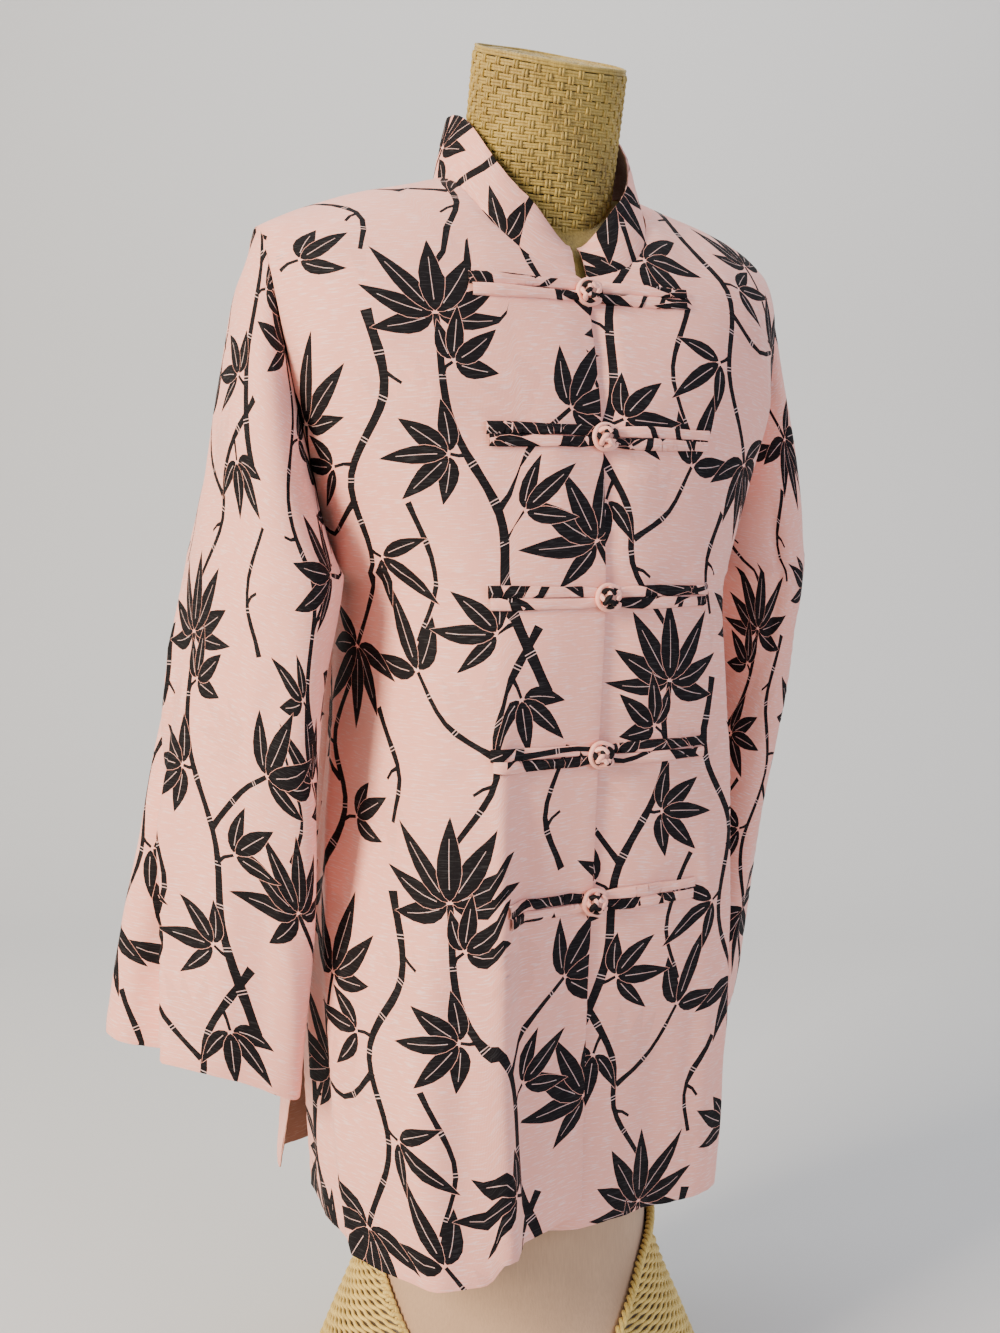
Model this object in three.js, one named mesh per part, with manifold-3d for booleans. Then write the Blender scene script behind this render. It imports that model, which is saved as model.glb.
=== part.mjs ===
// Mandarin-collar jacket with five frog closures, standing on a limbless dress form.
// Millimetres, +Z up. The jacket's front faces -Y and the wearer's right is -X.
// The origin is the middle of the form's flat foot.
import * as THREE from 'three';
import { mergeVertices } from 'three/addons/utils/BufferGeometryUtils.js';
import Module from 'manifold-3d';

// Rows of numbers under named columns.
const table = (columns, rows) => rows.map(
  (row) => Object.fromEntries(columns.map((name, i) => [name, row[i]])),
);

// ---------------------------------------------------------------- driving dimensions

const WALL = 1.5; // cloth thickness
const SEAM_GAP = 0.4; // space between two pieces at a seam
const HEM_Z = 195;
const UNDERARM_Z = 650;
const SHOULDER_Y = -30; // the shoulder seams lie in this plane
const NECK_POINT = { x: 70, z: 925 }; // where shoulder seam and neckline meet
const SHOULDER_END = { x: 199, z: 881 }; // where shoulder seam and armhole meet
const SHOULDER_CROWN = 5; // the shoulder seam arches this much
const UNDERARM = { x: 146, y: -8 };
const FRONT_NECK_Z = 848; // pit of the neckline at the centre front
const BACK_NECK_Z = 915;
const ARMHOLE_REACH = { front: 44, back: 46 }; // how far the armhole bows out of the shoulder plane
const ARMHOLE_CURL = 1.6; // above 1, the armhole turns inwards mostly near the underarm
const ROLL = { front: 235, frontTaper: 0.5, back: 135 }; // height over which a panel turns over the shoulder
const RIDGE_SPAN = 92; // from the centre front to the crease below the frogs' right ends
const LEFT_SPAN = 60; // the same on the left front, where it is softer
const BACK_SQUARE = 2.6; // how square the back's corners are
// Hanging corners of the hem, gone this far above it.
const HEM_DIP = { right: 6, left: 9, back: 2, from: 120 };
const SLIT = {
  top: 335, out: { right: 14, left: 6 }, back: { right: 38, left: 18 }, spread: 0.4, curve: 1.2,
};
const OVERLAP = 24; // the left front runs on this far under the right one
const LAP_STEP = 3.4; // how far the lap lies behind the right front
const LAP_EASE = 26; // over which the lap comes forward again
const LAP_FADE = 0.22; // share of the rows over which the lap narrows below the neckline
const NECK_RISE = 0.7; // the row, out of 1, that starts at the pit of the neckline
const RIGHT = -1; // wearer's right
const LEFT = 1;

// Sections of the body, one row for each height: half widths, seam line, depth of the two front
// corners behind the seam line, centre front, back, and how square the front corners are.
const BODY_ROWS = table(
  ['z', 'right', 'left', 'seamY', 'rightDepth', 'leftDepth', 'middleX', 'middleY', 'backY', 'square'],
  [
    [190, 158, 141, 5, 184, 127, -7, -142, 128, 4.6],
    [300, 163, 145, 5, 176, 138, -6, -143, 122, 4.2],
    [365, 161, 146, 5, 171, 145, -5, -145, 118, 3.9],
    [428, 154, 146, 4, 168, 150, -3, -147, 114, 3.6],
    [528, 144, 143, 0, 162, 152, -2, -153, 106, 3.2],
    [634, 140, 142, -6, 154, 152, 0, -158, 97, 2.8],
    [700, 150, 150, -20, 136, 136, 0, -156, 95, 2.6],
    [760, 180, 180, -30, 125, 125, 0, -155, 95, 2.5],
    [930, 197, 197, -30, 125, 125, 0, -155, 95, 2.5],
  ],
);

// Soft folds of the body: place across its panel (0 at the centre, 1 at the side), half width in
// the same measure, height out of the cloth at the foot and at the top, and where it runs.
const FRONT_FOLDS = [
  { side: RIGHT, at: 0.42, width: 0.05, foot: 6, top: 1, from: 190, to: 560 },
  { side: RIGHT, at: 0.86, width: 0.07, foot: 3, top: 6, from: 420, to: 780 },
  { side: RIGHT, at: 0.7, width: 0.08, foot: -4, top: -2, from: 190, to: 520 },
  { side: LEFT, at: 0.74, width: 0.07, foot: 5, top: 3, from: 190, to: 700 },
  { side: LEFT, at: 0.52, width: 0.07, foot: -4, top: -2, from: 190, to: 520 },
];
const BACK_FOLDS = [
  { side: RIGHT, at: 0.16, width: 0.1, foot: 8, top: 2, from: 190, to: 640 },
  { side: RIGHT, at: 0.46, width: 0.1, foot: -9, top: -3, from: 190, to: 700 },
  { side: RIGHT, at: 0.76, width: 0.09, foot: 7, top: 4, from: 190, to: 760 },
  { side: LEFT, at: 0.22, width: 0.1, foot: -7, top: -2, from: 190, to: 600 },
  { side: LEFT, at: 0.5, width: 0.1, foot: 8, top: 3, from: 190, to: 720 },
  { side: LEFT, at: 0.8, width: 0.09, foot: -6, top: -3, from: 190, to: 740 },
];

// Sections of the sleeves: middle, half length of the flattened tube, half thickness and the turn
// of its long axis (degrees, the rear edge swinging outwards).
const RIGHT_SLEEVE_ROWS = [
  { z: 879, x: 184, y: -30, long: 22, thick: 14, turn: 0 },
  { z: 858, x: 184, y: -30, long: 37, thick: 20, turn: 0 },
  { z: 840, x: 184, y: -30, long: 52, thick: 26, turn: 0 },
  { z: 803, x: 183, y: -30, long: 72, thick: 34, turn: 0 },
  { z: 764, x: 186, y: -30, long: 84, thick: 37, turn: 0 },
  { z: 730, x: 191, y: -29, long: 89, thick: 38, turn: 2 },
  { z: 686, x: 196, y: -25, long: 92, thick: 38, turn: 6 },
  { z: 597, x: 206, y: -20, long: 91, thick: 36, turn: 12 },
  { z: 520, x: 217, y: -18, long: 88, thick: 33, turn: 20 },
  { z: 458, x: 223, y: -16, long: 85, thick: 30, turn: 28 },
  { z: 397, x: 230, y: -13, long: 83, thick: 28, turn: 36 },
  { z: 290, x: 244, y: -10, long: 81, thick: 26, turn: 45 },
];
const LEFT_SLEEVE_ROWS = [
  { z: 879, x: 183, y: -30, long: 22, thick: 13, turn: 0 },
  { z: 858, x: 182, y: -30, long: 36, thick: 17, turn: 0 },
  { z: 840, x: 182, y: -30, long: 50, thick: 23, turn: 0 },
  { z: 803, x: 179, y: -28, long: 70, thick: 31, turn: 0 },
  { z: 764, x: 183, y: -24, long: 82, thick: 34, turn: 0 },
  { z: 730, x: 189, y: -16, long: 88, thick: 36, turn: 0 },
  { z: 686, x: 199, y: -2, long: 91, thick: 37, turn: 0 },
  { z: 640, x: 204, y: 11, long: 91, thick: 36, turn: 0 },
  { z: 597, x: 202, y: 22, long: 90, thick: 35, turn: -2 },
  { z: 520, x: 196, y: 33, long: 86, thick: 32, turn: -4 },
  { z: 458, x: 190, y: 41, long: 84, thick: 30, turn: -6 },
  { z: 397, x: 185, y: 48, long: 82, thick: 28, turn: -6 },
  { z: 290, x: 178, y: 57, long: 80, thick: 26, turn: -6 },
];
const CUFF_Z = { rear: 322, front: 296, outer: 314, inner: 304 };

// Sleeve folds: place around the tube (degrees, 0 on the outside, -90 at the front), half width,
// depth at the cuff, and the height where the fold runs out.
const RIGHT_SLEEVE_FOLDS = [
  { at: 22, width: 17, depth: -11, to: 600 },
  { at: -12, width: 20, depth: 6, to: 640 },
  { at: 175, width: 26, depth: -5, to: 560 },
];
const LEFT_SLEEVE_FOLDS = [
  { at: 10, width: 20, depth: -8, to: 560 },
  { at: -35, width: 22, depth: 5, to: 620 },
  { at: 178, width: 26, depth: -5, to: 540 },
];

const COLLAR = {
  backHeight: 44, frontHeight: 38, wall: 1.8, lean: 11, frontGap: 5, inset: 1.6, lift: 1.2, round: 0.42,
};
const FROGS = [
  { z: 836, right: 84, left: 76 },
  { z: 739, right: 82, left: 86 },
  { z: 634, right: 80, left: 86 },
  { z: 529, right: 80, left: 88 },
  { z: 428, right: 76, left: 84 },
];
const FROG_STRIP = { halfWidth: 6.6, lift: 0.7, edgeHeight: 2.2, ridgeHeight: 3.6, grooveHeight: 2.5 };
const KNOT = { radius: 8.2, depth: 6.4, lift: 0.6 };

// The dress form: torso sections below the shoulders, neck and woven foot.
const FORM_ROWS = [
  { z: 0, half: 161, front: 161, back: 161, middleY: 0 },
  { z: 30, half: 150, front: 150, back: 150, middleY: 0 },
  { z: 65, half: 136, front: 136, back: 136, middleY: 0 },
  { z: 100, half: 121, front: 121, back: 121, middleY: 0 },
  { z: 132, half: 110, front: 110, back: 110, middleY: 0 },
  { z: 170, half: 108, front: 107, back: 107, middleY: 0 },
  { z: 250, half: 118, front: 108, back: 104, middleY: 0 },
  { z: 340, half: 124, front: 108, back: 100, middleY: -2 },
  { z: 440, half: 112, front: 98, back: 84, middleY: -8 },
  { z: 520, half: 108, front: 98, back: 78, middleY: -14 },
  { z: 600, half: 120, front: 112, back: 84, middleY: -20 },
  { z: 660, half: 130, front: 120, back: 92, middleY: -25 },
];
const FORM_ROLL_ROWS = [
  { part: 0.86, half: 146 },
  { part: 0.62, half: 164 },
  { part: 0.4, half: 176 },
  { part: 0.2, half: 184 },
  { part: 0.07, half: 187 },
  { part: 0.008, half: 187 },
];
const FORM_DEPTH = 118; // half depth of the form's chest and upper back
const FORM_TUCK = 0.1; // by which the chest draws in towards the underarms
const SEAT_GAP = 0.8; // between the form's shoulders and the cloth
const NECK = { radius: 54, foot: -58, top: 84, y: -51, z: 925, lean: 15, topTilt: 8, socketGap: 0.4 };
const FOOT = { wall: 3.2, gap: 0.9, rimHigh: 152, rimLow: 34, dipTurn: -22 };

const COLOURS = {
  cloth: 0xe1beb6,
  frog: 0x4a3c3c,
  knot: 0xd9b0a6,
  formBody: 0xaa917a,
  formNeck: 0xcdb478,
  formFoot: 0xd7c882,
};

// ---------------------------------------------------------------- small helpers

const lerp = (a, b, t) => a + (b - a) * t;
const clamp01 = (t) => Math.min(1, Math.max(0, t));
const smooth = (t) => clamp01(t) ** 2 * (3 - 2 * clamp01(t));
const radians = (degrees) => (degrees * Math.PI) / 180;
const point = (x, y, z) => new THREE.Vector3(x, y, z);
const steps = (count) => Array.from({ length: count + 1 }, (_, i) => i / count);

// A column of a table at a value of its key column, on a smooth curve through the rows.
function along(table, key, column, value) {
  const descending = table[0][key] > table[table.length - 1][key];
  const rows = descending ? [...table].reverse() : table;
  const last = rows.length - 1;
  if (value <= rows[0][key]) return rows[0][column];
  if (value >= rows[last][key]) return rows[last][column];
  let i = 0;
  while (rows[i + 1][key] < value) i += 1;
  const slope = (k) => {
    const before = rows[Math.max(0, k - 1)];
    const after = rows[Math.min(last, k + 1)];
    return (after[column] - before[column]) / (after[key] - before[key]);
  };
  const span = rows[i + 1][key] - rows[i][key];
  const t = (value - rows[i][key]) / span;
  const [t2, t3] = [t * t, t * t * t];
  return (2 * t3 - 3 * t2 + 1) * rows[i][column] + (t3 - 2 * t2 + t) * span * slope(i)
    + (3 * t2 - 2 * t3) * rows[i + 1][column] + (t3 - t2) * span * slope(i + 1);
}

// Superellipse: 1 at the middle, 0 at the rim.
const bulge = (part, power) => (1 - clamp01(part) ** power) ** (1 / power);

// ---------------------------------------------------------------- the jacket's body surface

// Height of the shoulder line over a place across the body.
function shoulderZ(x) {
  const out = Math.max(0, Math.abs(x) - NECK_POINT.x) / (SHOULDER_END.x - NECK_POINT.x);
  const crown = out < 1 ? SHOULDER_CROWN * Math.sin(Math.PI * out ** 1.4) : 0;
  return lerp(NECK_POINT.z, SHOULDER_END.z, out) + crown;
}

// The straight line under the crowned shoulder seam.
const shoulderLine = (x) => lerp(NECK_POINT.z, SHOULDER_END.z, clamp01(
  (Math.abs(x) - NECK_POINT.x) / (SHOULDER_END.x - NECK_POINT.x),
));

// How far a panel has turned from the shoulder line (0) to its full depth (1).
function rolled(x, z, face) {
  const roll = face === 'front' ? ROLL.front - ROLL.frontTaper * Math.abs(x) : ROLL.back;
  const part = clamp01((shoulderZ(x) - z) / roll);
  return Math.sqrt(1 - (1 - part) ** 2);
}

const body = (column, z) => along(BODY_ROWS, 'z', column, z);
const depthOf = (face, side, z) => {
  if (face === 'back') return body('backY', z) - body('seamY', z);
  return body(side === RIGHT ? 'rightDepth' : 'leftDepth', z);
};
const squareOf = (face, z) => (face === 'back' ? BACK_SQUARE : body('square', z));

// Depth line of a panel at a place across it, for a section of the given half width.
function bodyY(face, side, x, z, half) {
  const out = face === 'front' ? -1 : 1;
  const reach = depthOf(face, side, z);
  const gap = (out * SEAM_GAP) / 2;
  let depth = reach * bulge(Math.abs(x) / half, squareOf(face, z));
  if (face === 'front') {
    const t = clamp01(Math.abs(x - body('middleX', z)) / (side === RIGHT ? RIDGE_SPAN : LEFT_SPAN));
    const near = 0.5 * (1 - t) + 0.25 * (1 + Math.cos(Math.PI * t));
    depth += (body('seamY', z) - body('middleY', z) - reach) * near;
  }
  return body('seamY', z) + gap + out * depth * rolled(x, z, face);
}

// The armhole seam: turn 0 at the shoulder, PI at the underarm.
function armhole(face, side, turn) {
  const drop = (1 - Math.cos(turn)) / 2;
  const reach = face === 'front' ? -ARMHOLE_REACH.front : ARMHOLE_REACH.back;
  const x = lerp(SHOULDER_END.x, UNDERARM.x, drop ** ARMHOLE_CURL);
  const y = lerp(SHOULDER_Y, UNDERARM.y, drop) + reach * Math.sin(turn);
  return point(side * x, y, lerp(SHOULDER_END.z, UNDERARM_Z, drop));
}

// Common direction of the cloth's thickness along the armhole.
function armholeNormal(face, side, turn) {
  const out = face === 'front' ? -1 : 1;
  const aside = 0.4 * Math.sin(turn) + 0.35 * (1 - Math.cos(turn));
  return point(side * aside, out * 0.9 * Math.sin(turn), Math.cos(turn)).normalize();
}

// Half width of the section that passes through the armhole seam on a row.
function halfThroughArmhole(face, side, seam) {
  const depth = depthOf(face, side, seam.z) * rolled(seam.x, seam.z, face);
  const part = clamp01(Math.abs(body('seamY', seam.z) - seam.y) / Math.max(depth, 1));
  const power = squareOf(face, seam.z);
  return Math.abs(seam.x) / (1 - Math.min(part, 0.98) ** power) ** (1 / power);
}

// Where a row of a panel starts, at its centre edge or neckline. rise is 0 at the underarm and 1 at
// the shoulder seam.
function rowStart(face, side, rise) {
  if (face === 'front') {
    const z = lerp(UNDERARM_Z, FRONT_NECK_Z, Math.min(1, rise / NECK_RISE));
    const bend = (Math.PI / 2) * clamp01((rise - NECK_RISE) / (1 - NECK_RISE));
    const scoop = NECK_POINT.z - FRONT_NECK_Z;
    if (bend === 0) return { x: body('middleX', z), z };
    return { x: side * NECK_POINT.x * Math.sin(bend), z: NECK_POINT.z - scoop * Math.cos(bend) };
  }
  return { x: 0, z: lerp(UNDERARM_Z, BACK_NECK_Z, rise) };
}

// Top edge of the back: shoulder seams and back neckline.
function backTopZ(x) {
  const inside = clamp01(Math.abs(x) / NECK_POINT.x);
  return shoulderZ(x) - (NECK_POINT.z - BACK_NECK_Z) * (1 - inside ** 2);
}

const DENSE_COUNT = 90;

// One row of a panel as a dense line of points from the centre to the side.
function denseRow(face, side, level, extraStart) {
  const low = level.z !== undefined;
  const turn = low ? Math.PI : Math.PI * (1 - level.rise);
  const seam = armhole(face, side, turn);
  const half = low ? body(side === RIGHT ? 'right' : 'left', level.z) : halfThroughArmhole(face, side, seam);
  const start = low
    ? { x: face === 'front' ? body('middleX', level.z) : 0, z: level.z }
    : rowStart(face, side, level.rise);
  const endX = low ? half : Math.abs(seam.x);
  const endZ = low ? level.z : seam.z;
  const startX = side * start.x - extraStart;
  // Closer points near the side, where the cloth turns.
  return steps(DENSE_COUNT).map((q) => {
    const reach = lerp(startX, endX, 1 - (1 - q) ** 3);
    const x = side * reach;
    const t = (reach - startX) / (endX - startX);
    let z = lerp(start.z, endZ, clamp01((reach - side * start.x) / (endX - side * start.x)));
    if (face === 'front' && !low) z += (shoulderZ(x) - shoulderLine(x)) * level.rise ** 6;
    if (face === 'back' && !low) {
      const drop = lerp(BACK_NECK_Z - start.z, SHOULDER_END.z - endZ, t);
      z = lerp(z, backTopZ(x) - drop, level.rise);
    }
    return point(x, bodyY(face, side, x, z, half), z);
  });
}

// Even spacing along a dense line.
function evenly(line, count) {
  const run = [0];
  for (let i = 1; i < line.length; i += 1) run.push(run[i - 1] + line[i].distanceTo(line[i - 1]));
  let k = 0;
  return steps(count).map((t) => {
    const wanted = t * run[run.length - 1];
    while (k < line.length - 2 && run[k + 1] < wanted) k += 1;
    return line[k].clone().lerp(line[k + 1], (wanted - run[k]) / Math.max(run[k + 1] - run[k], 1e-9));
  });
}

// Height of the folds at a place on a panel.
function foldHeight(folds, side, at, z) {
  return folds.filter((fold) => fold.side === side).reduce((sum, fold) => {
    const run = clamp01((z - fold.from) / (fold.to - fold.from));
    const fade = 1 - smooth((run - 0.55) / 0.45);
    return sum + lerp(fold.foot, fold.top, run) * fade * Math.exp(-(((at - fold.at) / fold.width) ** 2));
  }, 0);
}

// Levels of a panel's rows, from the hem to the shoulder seam, closer where it turns over the top.
const HIGH_RISES = [0, 0.12, 0.24, 0.36, 0.48, 0.59, 0.7, 0.79, 0.87, 0.93, 0.97, 0.992, 1];

function panelLevels(lowCount) {
  const low = steps(lowCount).slice(0, -1).map((t) => ({ z: lerp(HEM_Z, UNDERARM_Z, t) }));
  return [...low, ...HIGH_RISES.map((rise) => ({ rise }))];
}

// Hem height: the front corners hang a little lower.
function hemDrop(face, side, at, level) {
  if (level.z === undefined) return 0;
  const fade = clamp01(1 - (level.z - HEM_Z) / HEM_DIP.from) ** 2;
  const corner = side === RIGHT ? HEM_DIP.right * Math.sin(Math.PI * at) : HEM_DIP.left * smooth(at / 0.6);
  return face === 'front' ? -corner * fade : -HEM_DIP.back * Math.sin(2 * Math.PI * at) * fade;
}

// Below the top of the side slit the back swings out and away from the front.
function swingAtSlit(p, side, at) {
  const open = clamp01((SLIT.top - p.z) / (SLIT.top - HEM_Z)) ** SLIT.curve;
  const near = smooth(1 - (1 - at) / SLIT.spread);
  const key = side === RIGHT ? 'right' : 'left';
  p.x += side * SLIT.out[key] * open * near;
  p.y += SLIT.back[key] * open * near;
}

const SIDE_TURN = 1.35; // radians that the cloth has turned from the centre to the side seam

// A panel's outer points, rows from hem to shoulder and columns from centre to side.
function halfPanel(face, side, columns, levels, extraStart) {
  const folds = face === 'front' ? FRONT_FOLDS : BACK_FOLDS;
  const out = face === 'front' ? -1 : 1;
  // The lap under the other front narrows to nothing at the neckline.
  const lap = (level) => {
    if (level.z !== undefined) return extraStart;
    return extraStart * clamp01((NECK_RISE - level.rise) / LAP_FADE);
  };
  return levels.map((level) => evenly(denseRow(face, side, level, lap(level)), columns).map((p, i) => {
    const at = i / columns;
    const lift = foldHeight(folds, side, at, p.z);
    const turn = at * at * SIDE_TURN;
    p.x += side * lift * Math.sin(turn);
    p.y += out * lift * Math.cos(turn);
    p.z += hemDrop(face, side, at, level);
    if (face === 'back') swingAtSlit(p, side, at);
    return p;
  }));
}

// ---------------------------------------------------------------- walls from grids of points

// Outward normals of a grid, from its neighbours; flip turns them round.
function gridNormals(grid, flip, wrap) {
  const rows = grid.length;
  const columns = grid[0].length;
  const at = (r, c) => grid[r][wrap ? (c + columns) % columns : Math.min(columns - 1, Math.max(0, c))];
  return grid.map((row, r) => row.map((_, c) => {
    const across = at(r, c + 1).clone().sub(at(r, c - 1));
    const up = grid[Math.min(rows - 1, r + 1)][c].clone().sub(grid[Math.max(0, r - 1)][c]);
    return across.cross(up).multiplyScalar(flip ? -1 : 1).normalize();
  }));
}

// A closed cloth wall from its outer points and normals. wrap closes it into a tube.
function wallGeometry(outer, normals, thickness, flip, wrap) {
  const rows = outer.length;
  const columns = outer[0].length;
  const inner = outer.map((row, r) => row.map((p, c) => (
    p.clone().addScaledVector(normals[r][c], -thickness)
  )));
  const positions = [...outer.flat(), ...inner.flat()].flatMap((p) => [p.x, p.y, p.z]);
  const index = [];
  const outerAt = (r, c) => r * columns + (c % columns);
  const innerAt = (r, c) => rows * columns + outerAt(r, c);
  const quad = (a, b, c, d) => index.push(...(flip ? [a, c, b, a, d, c] : [a, b, c, a, c, d]));
  const lastColumn = wrap ? columns : columns - 1;
  for (let r = 0; r < rows - 1; r += 1) {
    for (let c = 0; c < lastColumn; c += 1) {
      quad(outerAt(r, c), outerAt(r, c + 1), outerAt(r + 1, c + 1), outerAt(r + 1, c));
      quad(innerAt(r, c), innerAt(r + 1, c), innerAt(r + 1, c + 1), innerAt(r, c + 1));
    }
  }
  for (let c = 0; c < lastColumn; c += 1) {
    quad(outerAt(0, c), innerAt(0, c), innerAt(0, c + 1), outerAt(0, c + 1));
    quad(outerAt(rows - 1, c), outerAt(rows - 1, c + 1), innerAt(rows - 1, c + 1), innerAt(rows - 1, c));
  }
  const end = columns - 1;
  for (let r = 0; r < rows - 1 && !wrap; r += 1) {
    quad(outerAt(r, 0), outerAt(r + 1, 0), innerAt(r + 1, 0), innerAt(r, 0));
    quad(outerAt(r, end), innerAt(r, end), innerAt(r + 1, end), outerAt(r + 1, end));
  }
  return geometryFrom(positions, index);
}

function geometryFrom(positions, index) {
  const geometry = new THREE.BufferGeometry();
  geometry.setAttribute('position', new THREE.Float32BufferAttribute(positions, 3));
  geometry.setIndex(index);
  geometry.computeVertexNormals();
  return geometry;
}

// A closed body through rings with the same number of points, capped at both ends.
function ringGeometry(rings, flip) {
  const columns = rings[0].length;
  const centre = (ring) => ring.reduce((sum, p) => sum.add(p), point(0, 0, 0)).divideScalar(columns);
  const points = [...rings.flat(), centre(rings[0]), centre(rings[rings.length - 1])];
  const index = [];
  const triangle = (a, b, c) => index.push(...(flip ? [a, c, b] : [a, b, c]));
  const at = (r, c) => r * columns + (c % columns);
  for (let c = 0; c < columns; c += 1) {
    for (let r = 0; r < rings.length - 1; r += 1) {
      triangle(at(r, c), at(r, c + 1), at(r + 1, c + 1));
      triangle(at(r, c), at(r + 1, c + 1), at(r + 1, c));
    }
    triangle(at(0, c + 1), at(0, c), rings.length * columns);
    triangle(at(rings.length - 1, c), at(rings.length - 1, c + 1), rings.length * columns + 1);
  }
  return geometryFrom(points.flatMap((p) => [p.x, p.y, p.z]), index);
}

// ---------------------------------------------------------------- body panels

const FRONT_COLUMNS = 15;
const BACK_COLUMNS = 11;
const LEVELS = panelLevels(12);

// Normals along the seams are shared with the neighbouring piece, so that the walls stay apart.
function seamNormals(normals, face, side, sideColumn) {
  LEVELS.forEach((level, r) => {
    if (face === 'back' && level.z < SLIT.top) return;
    const normal = level.z !== undefined
      ? point(side, 0, 0)
      : armholeNormal(face, side, Math.PI * (1 - level.rise));
    normals[r][sideColumn].copy(normal);
  });
}

const SHOULDER_SLOPE = (NECK_POINT.z - SHOULDER_END.z) / (SHOULDER_END.x - NECK_POINT.x);
const shoulderNormal = (side) => point(side * SHOULDER_SLOPE, 0, 1).normalize();

const panels = {};

function frontPanel(side) {
  const grid = halfPanel('front', side, FRONT_COLUMNS, LEVELS, side === LEFT ? OVERLAP : 0);
  if (side === LEFT) tuckUnder(grid);
  const normals = gridNormals(grid, side === RIGHT, false);
  seamNormals(normals, 'front', side, FRONT_COLUMNS);
  normals[LEVELS.length - 1].forEach((n) => n.copy(shoulderNormal(side)));
  normals[0].forEach((n, c) => n.copy(normals[1][c]));
  return { grid, geometry: wallGeometry(grid, normals, WALL, side === RIGHT, false) };
}

// The left front's edge steps back under the right front.
function tuckUnder(grid) {
  grid.forEach((row, r) => {
    const z = LEVELS[r].z ?? LEVELS[r].rise * (SHOULDER_END.z - UNDERARM_Z) + UNDERARM_Z;
    const edge = body('middleX', z);
    row.forEach((p) => {
      p.y += LAP_STEP * (1 - smooth((p.x - edge - 2 * WALL) / LAP_EASE));
    });
  });
}

function backPanel() {
  const right = halfPanel('back', RIGHT, BACK_COLUMNS, LEVELS, 0);
  const left = halfPanel('back', LEFT, BACK_COLUMNS, LEVELS, 0);
  const grid = left.map((row, r) => [...row.slice(1).reverse(), ...right[r]]);
  const normals = gridNormals(grid, false, false);
  const last = grid[0].length - 1;
  seamNormals(normals, 'back', LEFT, 0);
  seamNormals(normals, 'back', RIGHT, last);
  normals[LEVELS.length - 1].forEach((n, c) => {
    const p = grid[LEVELS.length - 1][c];
    if (Math.abs(p.x) >= NECK_POINT.x) n.copy(shoulderNormal(Math.sign(p.x)));
  });
  return { grid, geometry: wallGeometry(grid, normals, WALL, false, false) };
}

// ---------------------------------------------------------------- sleeves

const SLEEVE_AROUND = 24;
const SLEEVE_LEVELS = 13;
const SLEEVE_SETTLE = 90; // below the underarm, over which the sleeve finds its own section

// Point of the flattened tube at a height, turn measured from the outside towards the back.
function sleeveSection(rows, side, turn, z) {
  const value = (column) => along(rows, 'z', column, z);
  const swing = radians(value('turn'));
  const length = value('long') * Math.sin(turn);
  const width = value('thick') * Math.cos(turn);
  const out = value('x') + width * Math.cos(swing) + length * Math.sin(swing);
  return point(side * out, value('y') + length * Math.cos(swing) - width * Math.sin(swing), z);
}

function sleevePoint(rows, folds, side, turn, down) {
  const face = turn < 0 ? 'front' : 'back';
  const size = Math.abs(turn);
  const seam = armhole(face, side, size);
  const ends = turn < 0 ? CUFF_Z.front : CUFF_Z.rear;
  const sides = Math.cos(turn) > 0 ? CUFF_Z.outer : CUFF_Z.inner;
  const cuff = lerp(sides, ends, Math.sin(turn) ** 2);
  const z = lerp(seam.z, cuff, down);
  const free = sleeveSection(rows, side, turn, z);
  // The armhole turn at this height: there the tube has to meet the seam.
  const dropHere = clamp01((SHOULDER_END.z - z) / (SHOULDER_END.z - UNDERARM_Z));
  const turnHere = Math.acos(1 - 2 * dropHere);
  const target = armhole(face, side, turnHere);
  const own = sleeveSection(rows, side, face === 'front' ? -turnHere : turnHere, Math.max(z, UNDERARM_Z));
  const below = 1 - smooth((UNDERARM_Z - z) / SLEEVE_SETTLE);
  const nearness = turnHere > 0 ? Math.min(1, size / turnHere) ** 2 : 1;
  const pull = (z >= UNDERARM_Z ? nearness : nearness * below);
  free.x += (target.x - own.x) * pull;
  free.y += (target.y - own.y) * pull;
  free.x += side * SEAM_GAP;
  const degrees = (turn * 180) / Math.PI;
  folds.forEach((fold) => {
    const away = ((degrees - fold.at + 540) % 360) - 180;
    const grow = smooth((fold.to - z) / (fold.to - CUFF_Z.front));
    const lift = fold.depth * grow * Math.exp(-((away / fold.width) ** 2));
    const swing = radians(along(rows, 'z', 'turn', z));
    const facing = Math.cos(turn) >= 0 ? 1 : -1;
    free.x += side * facing * lift * Math.cos(swing);
    free.y -= facing * lift * Math.sin(swing);
  });
  return free;
}

function sleeve(side, rows, folds) {
  const turns = Array.from({ length: SLEEVE_AROUND }, (_, i) => -Math.PI + (2 * Math.PI * i) / SLEEVE_AROUND);
  const downs = steps(SLEEVE_LEVELS).map((t) => t ** 1.25);
  const grid = downs.map((down) => turns.map((turn) => sleevePoint(rows, folds, side, turn, down)));
  const flip = side === LEFT;
  const normals = gridNormals(grid, flip, true);
  turns.forEach((turn, c) => {
    normals[0][c].copy(armholeNormal(turn < 0 ? 'front' : 'back', side, Math.abs(turn)));
  });
  return wallGeometry(grid, normals, WALL, flip, true);
}

// ---------------------------------------------------------------- collar

// The neckline from the right front, around the back, to the left front, through the panels' points.
function neckline(count) {
  const neckRow = LEVELS.findIndex((level) => level.rise === NECK_RISE);
  const edge = (panel) => panel.grid.slice(neckRow, -1).map((row) => row[0]);
  const top = panels.back.grid[LEVELS.length - 1].filter((p) => Math.abs(p.x) < NECK_POINT.x);
  const corner = (side) => point(side * NECK_POINT.x, SHOULDER_Y, NECK_POINT.z);
  const line = [
    ...edge(panels.front_right), corner(RIGHT), ...top.reverse(), corner(LEFT),
    ...edge(panels.front_left).reverse(),
  ];
  return evenly(line, count);
}

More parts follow.
